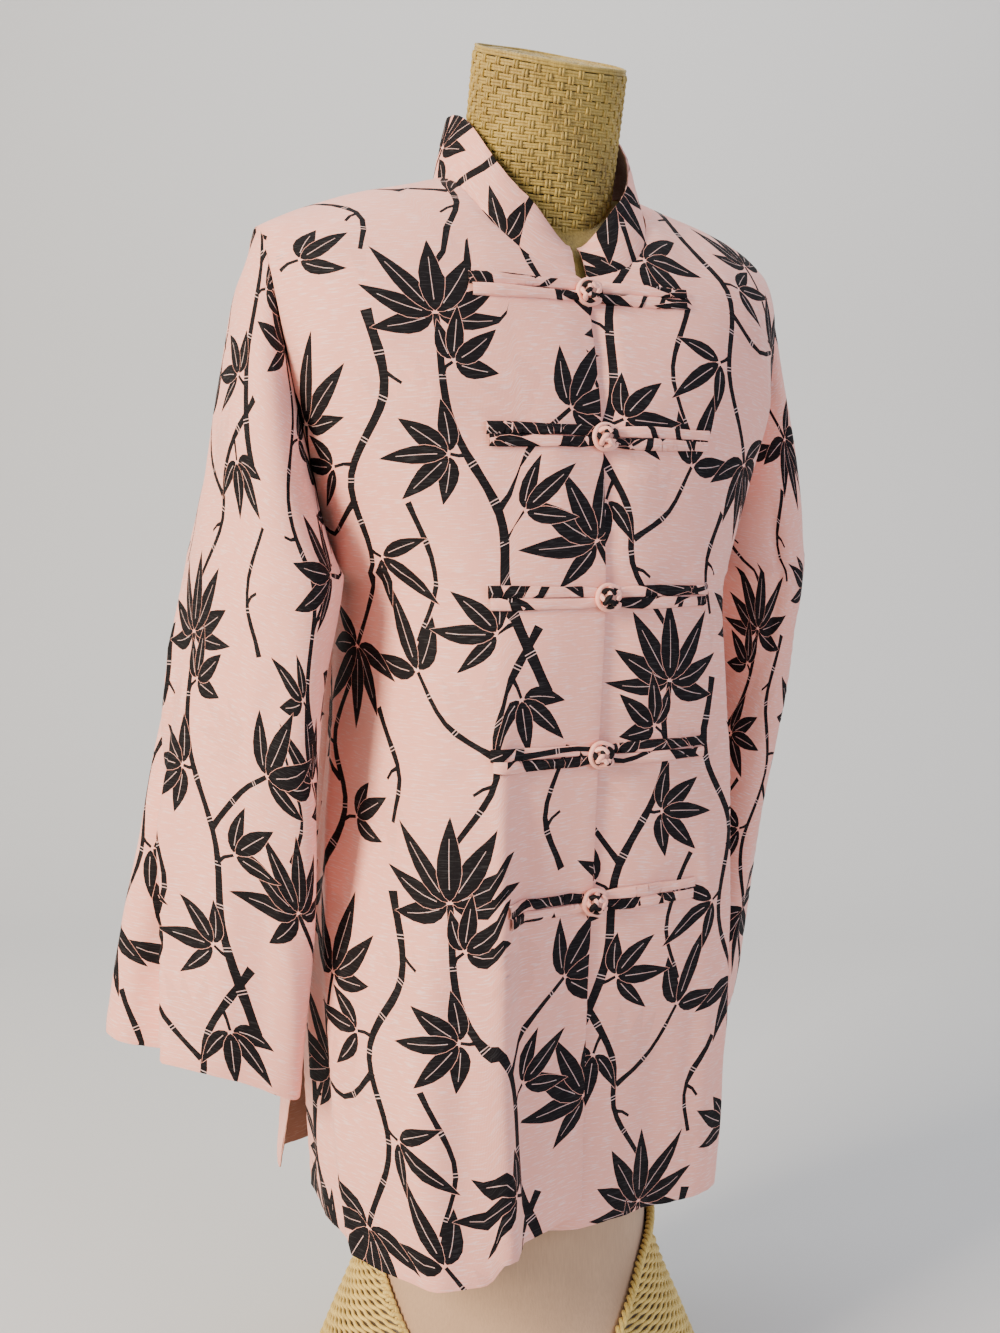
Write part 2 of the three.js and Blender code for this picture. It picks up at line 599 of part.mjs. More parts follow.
function collar() {
  const line = neckline(34);
  const last = line.length - 1;
  const middle = point(0, -48, 0);
  const rows = steps(3).map((rise) => line.map((p, i) => {
    const fromEnd = Math.min(i, last - i) / last;
    const inward = middle.clone().sub(p).setZ(0).normalize();
    const back = smooth((p.y + 120) / 120);
    const height = lerp(COLLAR.frontHeight, COLLAR.backHeight, back);
    const round = 1 - COLLAR.round * (1 - smooth(fromEnd * 12)) * rise;
    const upright = p.clone().addScaledVector(inward, rise * COLLAR.lean * (1 - 0.25 * back) + COLLAR.inset);
    upright.z += COLLAR.lift + rise * height * round;
    if (i === 0) upright.x -= COLLAR.frontGap * (1 - 0.3 * rise);
    if (i === last) upright.x += COLLAR.frontGap * (1 - 0.3 * rise);
    return upright;
  }));
  const normals = gridNormals(rows, false, false);
  normals.forEach((row) => row.forEach((n, c) => {
    if (c === 0 || c === last) n.setZ(0).normalize();
  }));
  return wallGeometry(rows, normals, COLLAR.wall, false, false);
}

// ---------------------------------------------------------------- frog closures

// Point on the front's outer face, at a distance from its centre edge along the cloth.
function frontPoint(side, reach, z) {
  const rise = (NECK_RISE * (z - UNDERARM_Z)) / (FRONT_NECK_Z - UNDERARM_Z);
  const level = z <= UNDERARM_Z ? { z } : { rise };
  const line = denseRow('front', side, level, 0);
  const total = line.reduce((sum, p, i) => (i ? sum + p.distanceTo(line[i - 1]) : 0), 0);
  const folds = (p, at) => foldHeight(FRONT_FOLDS, side, at, p.z);
  let run = 0;
  let i = 1;
  while (i < line.length - 1 && run + line[i].distanceTo(line[i - 1]) < reach) {
    run += line[i].distanceTo(line[i - 1]);
    i += 1;
  }
  const spot = line[i - 1].clone().lerp(line[i], (reach - run) / line[i].distanceTo(line[i - 1]));
  spot.y -= folds(spot, reach / total);
  spot.z = z;
  return spot;
}

function frogStrip(side, frog) {
  const start = KNOT.radius + 0.5;
  const reach = side === RIGHT ? frog.right : frog.left;
  const { halfWidth, lift, edgeHeight, ridgeHeight, grooveHeight } = FROG_STRIP;
  const section = [
    [-halfWidth, 0], [-halfWidth, edgeHeight], [-halfWidth / 2, ridgeHeight], [0, grooveHeight],
    [halfWidth / 2, ridgeHeight], [halfWidth, edgeHeight], [halfWidth, 0],
  ];
  const rings = steps(7).map((t) => {
    const here = lerp(start, reach, t);
    const p = frontPoint(side, here, frog.z);
    const along1 = frontPoint(side, here + 4, frog.z).sub(frontPoint(side, Math.max(0, here - 4), frog.z));
    const out = along1.cross(point(0, 0, side)).setZ(0).normalize();
    if (out.y > 0) out.negate();
    const low = frontPoint(side, here, frog.z - halfWidth);
    const high = frontPoint(side, here, frog.z + halfWidth);
    return section.map(([up, height]) => {
      const base = up < 0 ? low.y : high.y;
      const q = p.clone();
      q.y = lerp(p.y, base, Math.abs(up) / halfWidth);
      q.z += up;
      return q.addScaledVector(out, lift + height);
    });
  });
  return ringGeometry(rings, side === LEFT);
}

function frogKnot(frog) {
  const ball = new THREE.SphereGeometry(1, 12, 8);
  ball.scale(KNOT.radius, KNOT.depth, KNOT.radius);
  const spot = frontPoint(RIGHT, 0, frog.z);
  ball.translate(spot.x, spot.y - KNOT.depth - KNOT.lift, frog.z);
  return cleaned(ball);
}

function cleaned(geometry) {
  geometry.deleteAttribute('normal');
  geometry.deleteAttribute('uv');
  return mergeVertices(geometry, 1e-3);
}

// ---------------------------------------------------------------- dress form

const FORM_AROUND = 28;

function formRing(place) {
  return Array.from({ length: FORM_AROUND }, (_, i) => {
    const turn = (2 * Math.PI * (i + 0.5)) / FORM_AROUND;
    return place(Math.cos(turn), Math.sin(turn));
  });
}

function formTorso() {
  const low = FORM_ROWS.map((row) => formRing((across, back) => {
    const depth = back > 0 ? row.back : row.front;
    return point(row.half * across, row.middleY + depth * back, row.z);
  }));
  const high = FORM_ROLL_ROWS.map(({ part, half }) => formRing((across, back) => {
    const x = half * across;
    const face = back < 0 ? 'front' : 'back';
    const roll = face === 'front' ? ROLL.front - ROLL.frontTaper * Math.abs(x) : ROLL.back;
    const z = shoulderZ(x) - WALL - SEAT_GAP - roll * part;
    const turned = Math.sqrt(1 - (1 - part) ** 2);
    const tuck = 1 - FORM_TUCK * part;
    return point(x, SHOULDER_Y + FORM_DEPTH * tuck * Math.abs(back) * turned * (back < 0 ? -1 : 1), z);
  }));
  return ringGeometry([...low, ...high], false);
}

// The neck's axis leans forward from the middle of the shoulders.
const leanAngle = radians(NECK.lean);
const neckAxis = point(0, -Math.sin(leanAngle), Math.cos(leanAngle));
const neckSide = point(1, 0, 0);
const neckFront = neckAxis.clone().cross(neckSide);

function neckCylinder(radius, foot, top, tilt) {
  const base = point(0, NECK.y, NECK.z);
  const ring = (height, slant) => Array.from({ length: 32 }, (_, i) => {
    const turn = (2 * Math.PI * i) / 32;
    const rise = height + radius * Math.sin(turn) * Math.tan(radians(slant));
    return base.clone().addScaledVector(neckAxis, rise)
      .addScaledVector(neckSide, radius * Math.cos(turn))
      .addScaledVector(neckFront, radius * Math.sin(turn));
  });
  return ringGeometry([ring(foot, 0), ring(lerp(foot, top, 0.5), 0), ring(top, tilt)], false);
}

const wasm = await Module();
wasm.setup();

function toManifold(geometry) {
  return new wasm.Manifold(new wasm.Mesh({
    numProp: 3,
    vertProperties: new Float32Array(geometry.attributes.position.array),
    triVerts: new Uint32Array(geometry.index.array),
  }));
}

function fromManifold(manifold) {
  const mesh = manifold.getMesh();
  return geometryFrom(Array.from(mesh.vertProperties), Array.from(mesh.triVerts));
}

// The torso with the socket that takes the neck.
function formBody() {
  const socket = neckCylinder(NECK.radius + NECK.socketGap, NECK.foot - NECK.socketGap, NECK.top, 0);
  return fromManifold(toManifold(formTorso()).subtract(toManifold(socket)));
}

// The woven skin around the flared foot. Its rim dips at the front and at the back.
function formFoot() {
  const radius = (column, z) => {
    const i = FORM_ROWS.findIndex((row) => row.z > z);
    const [low, high] = [FORM_ROWS[i - 1], FORM_ROWS[i]];
    return lerp(low[column], high[column], (z - low.z) / (high.z - low.z)) + FOOT.gap + FOOT.wall;
  };
  const grid = steps(5).map((t) => Array.from({ length: FORM_AROUND }, (_, i) => {
    const turn = (2 * Math.PI * (i + 0.5)) / FORM_AROUND;
    const away = Math.abs(((((turn * 180) / Math.PI + 90 - FOOT.dipTurn) % 180) + 270) % 180 - 90);
    const rise = ((1 - Math.cos(2 * radians(away))) / 2) ** 1.3;
    const z = t * lerp(FOOT.rimLow, FOOT.rimHigh, rise);
    const column = Math.sin(turn) < 0 ? 'front' : 'back';
    return point(radius('half', z) * Math.cos(turn), radius(column, z) * Math.sin(turn), z);
  }));
  const normals = grid.map((row) => row.map((p) => point(p.x, p.y, 0).normalize()));
  return wallGeometry(grid, normals, FOOT.wall, false, true);
}

// ---------------------------------------------------------------- the assembly

const group = new THREE.Group();

function add(name, geometry, color, roughness) {
  const material = new THREE.MeshStandardMaterial({ color, roughness, metalness: 0 });
  const mesh = new THREE.Mesh(geometry, material);
  mesh.name = name;
  group.add(mesh);
}

panels.front_right = frontPanel(RIGHT);
panels.front_left = frontPanel(LEFT);
panels.back = backPanel();
Object.entries(panels).forEach(([name, panel]) => add(name, panel.geometry, COLOURS.cloth, 0.7));
add('sleeve_right', sleeve(RIGHT, RIGHT_SLEEVE_ROWS, RIGHT_SLEEVE_FOLDS), COLOURS.cloth, 0.7);
add('sleeve_left', sleeve(LEFT, LEFT_SLEEVE_ROWS, LEFT_SLEEVE_FOLDS), COLOURS.cloth, 0.7);
add('collar', collar(), COLOURS.cloth, 0.7);
FROGS.forEach((frog, i) => {
  add(`frog${i + 1}_right`, frogStrip(RIGHT, frog), COLOURS.frog, 0.75);
  add(`frog${i + 1}_left`, frogStrip(LEFT, frog), COLOURS.frog, 0.75);
  add(`frog${i + 1}_knot`, frogKnot(frog), COLOURS.knot, 0.7);
});
add('form_body', formBody(), COLOURS.formBody, 0.85);
add('form_neck', neckCylinder(NECK.radius, NECK.foot, NECK.top, NECK.topTilt), COLOURS.formNeck, 0.8);
add('form_foot', formFoot(), COLOURS.formFoot, 0.85);

export default group;
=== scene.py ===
import math
import random

import bmesh
import bpy
import numpy as np
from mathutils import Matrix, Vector, geometry, noise


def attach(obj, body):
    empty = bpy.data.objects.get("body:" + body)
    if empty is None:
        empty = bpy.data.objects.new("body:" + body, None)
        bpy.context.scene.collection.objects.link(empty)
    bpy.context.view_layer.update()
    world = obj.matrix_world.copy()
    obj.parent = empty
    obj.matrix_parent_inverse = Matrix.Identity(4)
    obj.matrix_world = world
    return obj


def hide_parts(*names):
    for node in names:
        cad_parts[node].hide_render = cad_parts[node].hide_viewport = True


# Mandarin-collar jacket with frog closures on a limbless dress form.
# Sizes are in millimetres, and meshes are made in metres. +Z is up, the jacket's front faces -Y
# and the wearer's right is -X.

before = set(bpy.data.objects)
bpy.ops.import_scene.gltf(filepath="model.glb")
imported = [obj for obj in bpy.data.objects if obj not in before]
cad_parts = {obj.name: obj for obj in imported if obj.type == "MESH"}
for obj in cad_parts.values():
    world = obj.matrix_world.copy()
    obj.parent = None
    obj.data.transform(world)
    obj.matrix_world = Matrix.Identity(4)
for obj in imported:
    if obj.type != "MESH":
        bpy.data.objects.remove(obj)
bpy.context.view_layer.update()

MM = 0.001
RIGHT, LEFT = -1, 1
SEED = 7

# ------------------------------------------------------------------ camera, floor and light

CAMERA_PLACE = (-443.3, -982.0, 665.0)
CAMERA_PITCH = 85.3  # degrees from straight down
CAMERA_TURN = -24.0
CAMERA_LENS = 38.2


def make_camera():
    data = bpy.data.cameras.new("camera")
    data.lens = CAMERA_LENS
    data.sensor_width = 36
    data.clip_start = 0.05
    camera = bpy.data.objects.new("camera", data)
    camera.location = Vector(CAMERA_PLACE) * MM
    camera.rotation_euler = (math.radians(CAMERA_PITCH), 0, math.radians(CAMERA_TURN))
    bpy.context.collection.objects.link(camera)
    bpy.context.scene.camera = camera


make_camera()

FLOOR = (0.60, 0.60, 0.59)
FLOOR_REACH, WALL_AT, WALL_CURVE, WALL_TOP = 14.0, 1.3, 1.2, 5.0  # metres
LIGHTS = (  # name, place, aim, size, power and colour
    ("key", (-2.6, -0.75, 1.6), (0, 0, 0.6), (0.9, 1.2), 172, (1.0, 0.86, 0.70)),
    ("fill", (1.3, -2.7, 1.2), (0, 0, 0.5), (1.6, 1.6), 42, (0.70, 0.73, 1.0)),
    ("wall", (0.4, 0.3, 3.0), (0.9, 1.9, 0.6), (2.5, 1.2), 60, (0.95, 0.98, 1.0)),
)


def soft_light(name, place, aim, size, power, colour):
    data = bpy.data.lights.new(name, "AREA")
    data.shape = "RECTANGLE"
    data.size, data.size_y = size
    data.energy = power
    data.color = colour
    light = bpy.data.objects.new(name, data)
    light.location = place
    light.rotation_euler = (Vector(aim) - Vector(place)).to_track_quat("-Z", "Y").to_euler()
    bpy.context.collection.objects.link(light)


def make_stage():
    """A pale floor that curves up into a wall, with the lights and the sky's glow."""
    profile = [(-FLOOR_REACH, 0.0), (WALL_AT, 0.0)]
    profile += [(WALL_AT + WALL_CURVE * math.sin(a), WALL_CURVE - WALL_CURVE * math.cos(a))
                for a in np.linspace(0.1, 1.57, 16)]
    profile += [(WALL_AT + WALL_CURVE, WALL_TOP)]
    points = [(x, y, z) for x in (-FLOOR_REACH, FLOOR_REACH) for y, z in profile]
    count = len(profile)
    faces = [[i, i + count, i + count + 1, i + 1] for i in range(count - 1)]
    mesh = bpy.data.meshes.new("backdrop")
    mesh.from_pydata(points, [], faces)
    mesh.polygons.foreach_set("use_smooth", [True] * len(faces))
    material = bpy.data.materials.new("backdrop_paper")
    material.use_nodes = True
    shader = material.node_tree.nodes["Principled BSDF"]
    shader.inputs["Base Color"].default_value = (*FLOOR, 1)
    shader.inputs["Roughness"].default_value = 0.9
    shader.inputs["Specular IOR Level"].default_value = 0.2
    mesh.materials.append(material)
    backdrop = bpy.data.objects.new("backdrop", mesh)
    backdrop.rotation_euler = (0, 0, math.radians(CAMERA_TURN))
    bpy.context.collection.objects.link(backdrop)
    for light in LIGHTS:
        soft_light(*light)
    world = bpy.data.worlds.new("studio")
    world.use_nodes = True
    world.node_tree.nodes["Background"].inputs["Color"].default_value = (0.93, 0.95, 1.0, 1)
    world.node_tree.nodes["Background"].inputs["Strength"].default_value = 0.5
    bpy.context.scene.world = world


make_stage()

# ------------------------------------------------------------------ small helpers


def lerp(a, b, t):
    return a + (b - a) * t


def smooth(t):
    t = np.clip(t, 0, 1)
    return t * t * (3 - 2 * t)


def unit(vectors):
    return vectors / np.maximum(np.linalg.norm(vectors, axis=-1, keepdims=True), 1e-12)


def rows(columns, *lines):
    """A table as a list of rows with named columns."""
    return [dict(zip(columns.split(), line)) for line in lines]


def curve_shares(t):
    """Shares of two values and their slopes on the smooth curve between them."""
    t2, t3 = t * t, t * t * t
    return 2 * t3 - 3 * t2 + 1, t3 - 2 * t2 + t, 3 * t2 - 2 * t3, t3 - t2


def over_z(table, column):
    """A column of a table as a smooth curve over its column z."""
    order = sorted(table, key=lambda row: row["z"])
    x = np.array([row["z"] for row in order], float)
    y = np.array([row[column] for row in order], float)
    before = np.maximum(np.arange(len(x)) - 1, 0)
    after = np.minimum(np.arange(len(x)) + 1, len(x) - 1)
    slope = (y[after] - y[before]) / (x[after] - x[before])

    def at(value):
        value = np.clip(value, x[0], x[-1])
        i = np.clip(np.searchsorted(x, value) - 1, 0, len(x) - 2)
        span = x[i + 1] - x[i]
        here, leave, there, arrive = curve_shares((value - x[i]) / span)
        return (here * y[i] + leave * span * slope[i]
                + there * y[i + 1] + arrive * span * slope[i + 1])

    return at


def lengths(line):
    """Running length along a line of points."""
    return np.concatenate([[0], np.cumsum(np.linalg.norm(np.diff(line, axis=0), axis=1))])


def evenly(line, count):
    run = lengths(line)
    wanted = np.linspace(0, run[-1], count + 1)
    return np.stack([np.interp(wanted, run, line[:, k]) for k in range(3)], axis=1)


# ------------------------------------------------------------------ the jacket's sizes

WALL = 1.5
SEAM_GAP = 0.1
HEM_Z = 195
UNDERARM_Z = 650
SHOULDER_Y = -30
NECK_POINT = (70, 925)
SHOULDER_END = (199, 881)
SHOULDER_CROWN = 5
UNDERARM = (146, -8)
FRONT_NECK_Z = 848
BACK_NECK_Z = 915
ARMHOLE_REACH = {"front": -44, "back": 46}
ARMHOLE_CURL = 1.6
ROLL_FRONT, ROLL_TAPER, ROLL_BACK = 235, 0.5, 135
SPAN = {RIGHT: 92, LEFT: 60}
BACK_SQUARE = 2.6
HEM_DIP = {RIGHT: 6, LEFT: 9, "back": 2, "from": 120}
HEM_CORNER, HEM_CORNER_AT, HEM_CORNER_SOFT = 12, 0.295, 0.025
SLIT_TOP, SLIT_SPREAD, SLIT_CURVE = 335, 0.4, 1.2
SLIT_OUT = {RIGHT: 14, LEFT: 6}
SLIT_BACK = {RIGHT: 38, LEFT: 18}
OVERLAP = 24
LAP_STEP, LAP_EASE, LAP_FADE = 3.4, 26, 0.22
FOLD_FADES_FROM, FOLD_FADES_OVER = 0.55, 0.45
ROW_PARTS = 90
NECK_RISE = 0.7
SIDE_TURN = 1.35

BODY_ROWS = rows(
    "z right left seamY rightDepth leftDepth middleX middleY backY square",
    (190, 158, 141, 5, 184, 127, -7, -142, 128, 4.6),
    (300, 163, 145, 5, 176, 138, -6, -143, 122, 4.2),
    (365, 161, 146, 5, 171, 145, -5, -145, 118, 3.9),
    (428, 154, 146, 4, 168, 150, -3, -147, 114, 3.6),
    (528, 144, 143, 0, 162, 152, -2, -153, 106, 3.2),
    (634, 140, 142, -6, 154, 152, 0, -158, 97, 2.8),
    (700, 150, 150, -20, 136, 136, 0, -156, 95, 2.6),
    (760, 180, 180, -30, 125, 125, 0, -155, 95, 2.5),
    (930, 197, 197, -30, 125, 125, 0, -155, 95, 2.5),
)
BODY = {name: over_z(BODY_ROWS, name) for name in BODY_ROWS[0] if name != "z"}

FOLD_COLUMNS = "side at width foot top from to"
FRONT_FOLDS = rows(
    FOLD_COLUMNS,
    (RIGHT, 0.42, 0.05, 6, 1, 190, 560),
    (RIGHT, 0.86, 0.07, 3, 6, 420, 780),
    (RIGHT, 0.70, 0.08, -4, -2, 190, 520),
    (LEFT, 0.74, 0.07, 5, 3, 190, 700),
    (LEFT, 0.52, 0.07, -4, -2, 190, 520),
)
BACK_FOLDS = rows(
    FOLD_COLUMNS,
    (RIGHT, 0.16, 0.10, 8, 2, 190, 640),
    (RIGHT, 0.46, 0.10, -9, -3, 190, 700),
    (RIGHT, 0.76, 0.09, 7, 4, 190, 760),
    (LEFT, 0.22, 0.10, -7, -2, 190, 600),
    (LEFT, 0.50, 0.10, 8, 3, 190, 720),
    (LEFT, 0.80, 0.09, -6, -3, 190, 740),
)

SLEEVE_COLUMNS = "z x y long thick turn"
SLEEVE_ROWS = {
    RIGHT: rows(
        SLEEVE_COLUMNS,
        (879, 184, -30, 22, 14, 0),
        (858, 184, -30, 37, 20, 0),
        (840, 184, -30, 52, 26, 0),
        (803, 183, -30, 72, 34, 0),
        (764, 186, -30, 84, 37, 0),
        (730, 191, -29, 89, 38, 2),
        (686, 196, -25, 92, 38, 6),
        (597, 206, -20, 91, 36, 12),
        (520, 217, -18, 88, 33, 20),
        (458, 223, -16, 85, 30, 28),
        (397, 230, -13, 83, 28, 36),
        (290, 244, -10, 81, 26, 45),
    ),
    LEFT: rows(
        SLEEVE_COLUMNS,
        (879, 183, -30, 22, 13, 0),
        (858, 182, -30, 36, 17, 0),
        (840, 182, -30, 50, 23, 0),
        (803, 179, -28, 70, 31, 0),
        (764, 183, -24, 82, 34, 0),
        (730, 189, -16, 88, 36, 0),
        (686, 199, -2, 91, 37, 0),
        (640, 204, 11, 91, 36, 0),
        (597, 202, 22, 90, 35, -2),
        (520, 196, 33, 86, 32, -4),
        (458, 190, 41, 84, 30, -6),
        (397, 185, 48, 82, 28, -6),
        (290, 178, 57, 80, 26, -6),
    ),
}
CUFF_REAR, CUFF_FRONT, CUFF_OUTER, CUFF_INNER = 322, 291, 314, 304
SLEEVE_SETTLE = 90
SLEEVE_FOLDS = {
    RIGHT: rows("at width depth to", (22, 17, -11, 600), (-12, 20, 6, 640), (175, 26, -5, 560)),
    LEFT: rows("at width depth to", (10, 20, -8, 560), (-35, 22, 5, 620), (178, 26, -5, 540)),
}
COLLAR_BACK, COLLAR_FRONT, COLLAR_WALL, COLLAR_LEAN = 44, 38, 1.8, 11
COLLAR_GAP, COLLAR_INSET, COLLAR_LIFT, COLLAR_ROUND = 5, -0.4, -1.6, 0.42
COLLAR_MORE_LEAN, COLLAR_MORE_RISE = 2, 2.8  # what the shown collar adds to its solid
COLLAR_CENTRE = (0, -48, 0)
COLLAR_REACH = 120  # from the front ends to where the collar has its full height
COLLAR_ROUND_SHARE, COLLAR_UPRIGHT, COLLAR_CLOSES = 12, 0.25, 0.3
FROGS = rows("z right left", (836, 84, 76), (739, 82, 86), (634, 80, 86), (529, 80, 88), (428, 76, 84))
KNOT_RADIUS, KNOT_DEPTH, KNOT_LIFT = 7.6, 6.2, 0.6

# ------------------------------------------------------------------ the jacket's body surface


def bulge(part, power):
    return (1 - np.clip(part, 0, 1) ** power) ** (1 / power)


def out_of(face):
    return -1 if face == "front" else 1


def shoulder_share(x):
    return np.maximum(0, np.abs(x) - NECK_POINT[0]) / (SHOULDER_END[0] - NECK_POINT[0])


def shoulder_z(x):
    out = shoulder_share(x)
    crown = SHOULDER_CROWN * np.sin(np.pi * np.minimum(out, 1) ** 1.4)
    return lerp(NECK_POINT[1], SHOULDER_END[1], out) + crown


def shoulder_line(x):
    return lerp(NECK_POINT[1], SHOULDER_END[1], np.minimum(shoulder_share(x), 1))


def rolled(x, z, face):
    roll = ROLL_FRONT - ROLL_TAPER * np.abs(x) if face == "front" else ROLL_BACK
    part = np.clip((shoulder_z(x) - z) / roll, 0, 1)
    return np.sqrt(1 - (1 - part) ** 2)


def depth_of(face, side, z):
    if face == "back":
        return BODY["backY"](z) - BODY["seamY"](z)
    return BODY["rightDepth" if side == RIGHT else "leftDepth"](z)


def square_of(face, z):
    return BACK_SQUARE if face == "back" else BODY["square"](z)


def body_y(face, side, x, z, half):
    """Depth line of a panel across it, for a section of the given half width."""
    reach = depth_of(face, side, z)
    depth = reach * bulge(np.abs(x) / half, square_of(face, z))
    if face == "front":
        t = np.clip(np.abs(x - BODY["middleX"](z)) / SPAN[side], 0, 1)
        near = 0.5 * (1 - t) + 0.25 * (1 + np.cos(np.pi * t))
        depth = depth + (BODY["seamY"](z) - BODY["middleY"](z) - reach) * near
    out = out_of(face)
    return BODY["seamY"](z) + out * SEAM_GAP / 2 + out * depth * rolled(x, z, face)


def armhole(face, side, turn):
    """The armhole seam: turn 0 at the shoulder, pi at the underarm."""
    drop = (1 - np.cos(turn)) / 2
    x = lerp(SHOULDER_END[0], UNDERARM[0], drop**ARMHOLE_CURL)
    y = lerp(SHOULDER_Y, UNDERARM[1], drop) + ARMHOLE_REACH[face] * np.sin(turn)
    return side * x, y, lerp(SHOULDER_END[1], UNDERARM_Z, drop)


def half_through_armhole(face, side, seam):
    x, y, z = seam
    depth = depth_of(face, side, z) * rolled(x, z, face)
    part = np.clip(abs(BODY["seamY"](z) - y) / max(depth, 1), 0, 0.98)
    power = square_of(face, z)
    return abs(x) / (1 - part**power) ** (1 / power)


def row_start(face, side, rise):
    if face == "back":
        return 0, lerp(UNDERARM_Z, BACK_NECK_Z, rise)
    z = lerp(UNDERARM_Z, FRONT_NECK_Z, min(1, rise / NECK_RISE))
    bend = math.pi / 2 * float(np.clip((rise - NECK_RISE) / (1 - NECK_RISE), 0, 1))
    if bend == 0:
        return float(BODY["middleX"](z)), z
    scoop = NECK_POINT[1] - FRONT_NECK_Z
    return side * NECK_POINT[0] * math.sin(bend), NECK_POINT[1] - scoop * math.cos(bend)


def dense_row(face, side, level, extra=0.0):
    """One row of a panel, from the centre to the side. level is ("z", z) or ("rise", rise)."""
    kind, value = level
    low = kind == "z"
    seam = armhole(face, side, math.pi if low else math.pi * (1 - value))
    if low:
        half = float(BODY["right" if side == RIGHT else "left"](value))
        start_x = float(BODY["middleX"](value)) if face == "front" else 0
        start_z, end_x, end_z = value, half, value
    else:
        half = half_through_armhole(face, side, seam)
        start_x, start_z = row_start(face, side, value)
        end_x, end_z = abs(seam[0]), seam[2]
    q = np.linspace(0, 1, ROW_PARTS + 1)
    first = side * start_x - extra
    reach = lerp(first, end_x, 1 - (1 - q) ** 3)
    x = side * reach
    z = lerp(start_z, end_z, np.clip((reach - side * start_x) / (end_x - side * start_x), 0, 1))
    if face == "front" and not low:
        z = z + (shoulder_z(x) - shoulder_line(x)) * value**6
    if face == "back" and not low:
        t = (reach - first) / (end_x - first)
        inside = np.clip(np.abs(x) / NECK_POINT[0], 0, 1)
        top = shoulder_z(x) - (NECK_POINT[1] - BACK_NECK_Z) * (1 - inside**2)
        drop = lerp(BACK_NECK_Z - start_z, SHOULDER_END[1] - end_z, t)
        z = lerp(z, top - drop, value)
    return np.stack([x, body_y(face, side, x, z, half), z], axis=1)


def fold_height(folds, side, at, z):
    total = np.zeros_like(at)
    for fold in (f for f in folds if f["side"] == side):
        run = np.clip((z - fold["from"]) / (fold["to"] - fold["from"]), 0, 1)
        fade = 1 - smooth((run - FOLD_FADES_FROM) / FOLD_FADES_OVER)
        ridge = np.exp(-(((at - fold["at"]) / fold["width"]) ** 2))
        total += lerp(fold["foot"], fold["top"], run) * fade * ridge
    return total


LOW_ROWS = 84
HIGH_RISES = [0, 0.12, 0.24, 0.36, 0.48, 0.59, 0.7, 0.79, 0.87, 0.93, 0.97, 0.992, 1]
HIGH_PARTS = 4


def panel_levels():
    low = np.linspace(HEM_Z, UNDERARM_Z, LOW_ROWS + 1)[:-1]
    last = len(HIGH_RISES) - 1
    high = np.interp(np.linspace(0, last, last * HIGH_PARTS + 1), range(last + 1), HIGH_RISES)
    return [("z", float(z)) for z in low] + [("rise", float(rise)) for rise in high]


LEVELS = panel_levels()


def lap_at(level, extra):
    kind, value = level
    return extra if kind == "z" else extra * float(np.clip((NECK_RISE - value) / LAP_FADE, 0, 1))


def half_panel(face, side, columns, extra=0.0):
    """A panel's outer points, rows from the hem to the shoulder, columns from the centre out."""
    folds = FRONT_FOLDS if face == "front" else BACK_FOLDS
    at = np.arange(columns + 1) / columns
    grid = []
    for level in LEVELS:
        line = evenly(dense_row(face, side, level, lap_at(level, extra)), columns)
        lift = fold_height(folds, side, at, line[:, 2])
        turn = at * at * SIDE_TURN
        line[:, 0] += side * lift * np.sin(turn)
        line[:, 1] += out_of(face) * lift * np.cos(turn)
        if level[0] == "z":
            line[:, 2] += hem_drop(face, side, at, level[1])
        if face == "back":
            swing_at_slit(line, side, at)
        grid.append(line)
    return np.array(grid)


def hem_drop(face, side, at, z):
    fade = np.clip(1 - (z - HEM_Z) / HEM_DIP["from"], 0, 1) ** 2
    if face == "back":
        return -HEM_DIP["back"] * np.sin(2 * np.pi * at) * fade
    if side == RIGHT:
        corner = HEM_CORNER * smooth((HEM_CORNER_AT - at) / HEM_CORNER_SOFT) * fade
        return corner - HEM_DIP[RIGHT] * np.sin(np.pi * at) * fade
    return -HEM_DIP[LEFT] * smooth(at / 0.6) * fade


def swing_at_slit(line, side, at):
    opened = np.clip((SLIT_TOP - line[:, 2]) / (SLIT_TOP - HEM_Z), 0, 1) ** SLIT_CURVE
    near = smooth(1 - (1 - at) / SLIT_SPREAD)
    line[:, 0] += side * SLIT_OUT[side] * opened * near
    line[:, 1] += SLIT_BACK[side] * opened * near


def tuck_under(grid):
    """The left front's edge steps back under the right front."""
    for level, line in zip(LEVELS, grid):
        kind, value = level
        z = value if kind == "z" else lerp(UNDERARM_Z, SHOULDER_END[1], value)
        edge = float(BODY["middleX"](z))
        line[:, 1] += LAP_STEP * (1 - smooth((line[:, 0] - edge - 2 * WALL) / LAP_EASE))


# ------------------------------------------------------------------ sleeves


def sleeve_section(side, turn, z):
    table = SLEEVE[side]
    swing = np.radians(table["turn"](z))
    long = table["long"](z) * np.sin(turn)
    wide = table["thick"](z) * np.cos(turn)
    x = table["x"](z) + wide * np.cos(swing) + long * np.sin(swing)
    return side * x, table["y"](z) + long * np.cos(swing) - wide * np.sin(swing)


SLEEVE = {
    side: {name: over_z(table, name) for name in SLEEVE_COLUMNS.split()[1:]}
    for side, table in SLEEVE_ROWS.items()
}


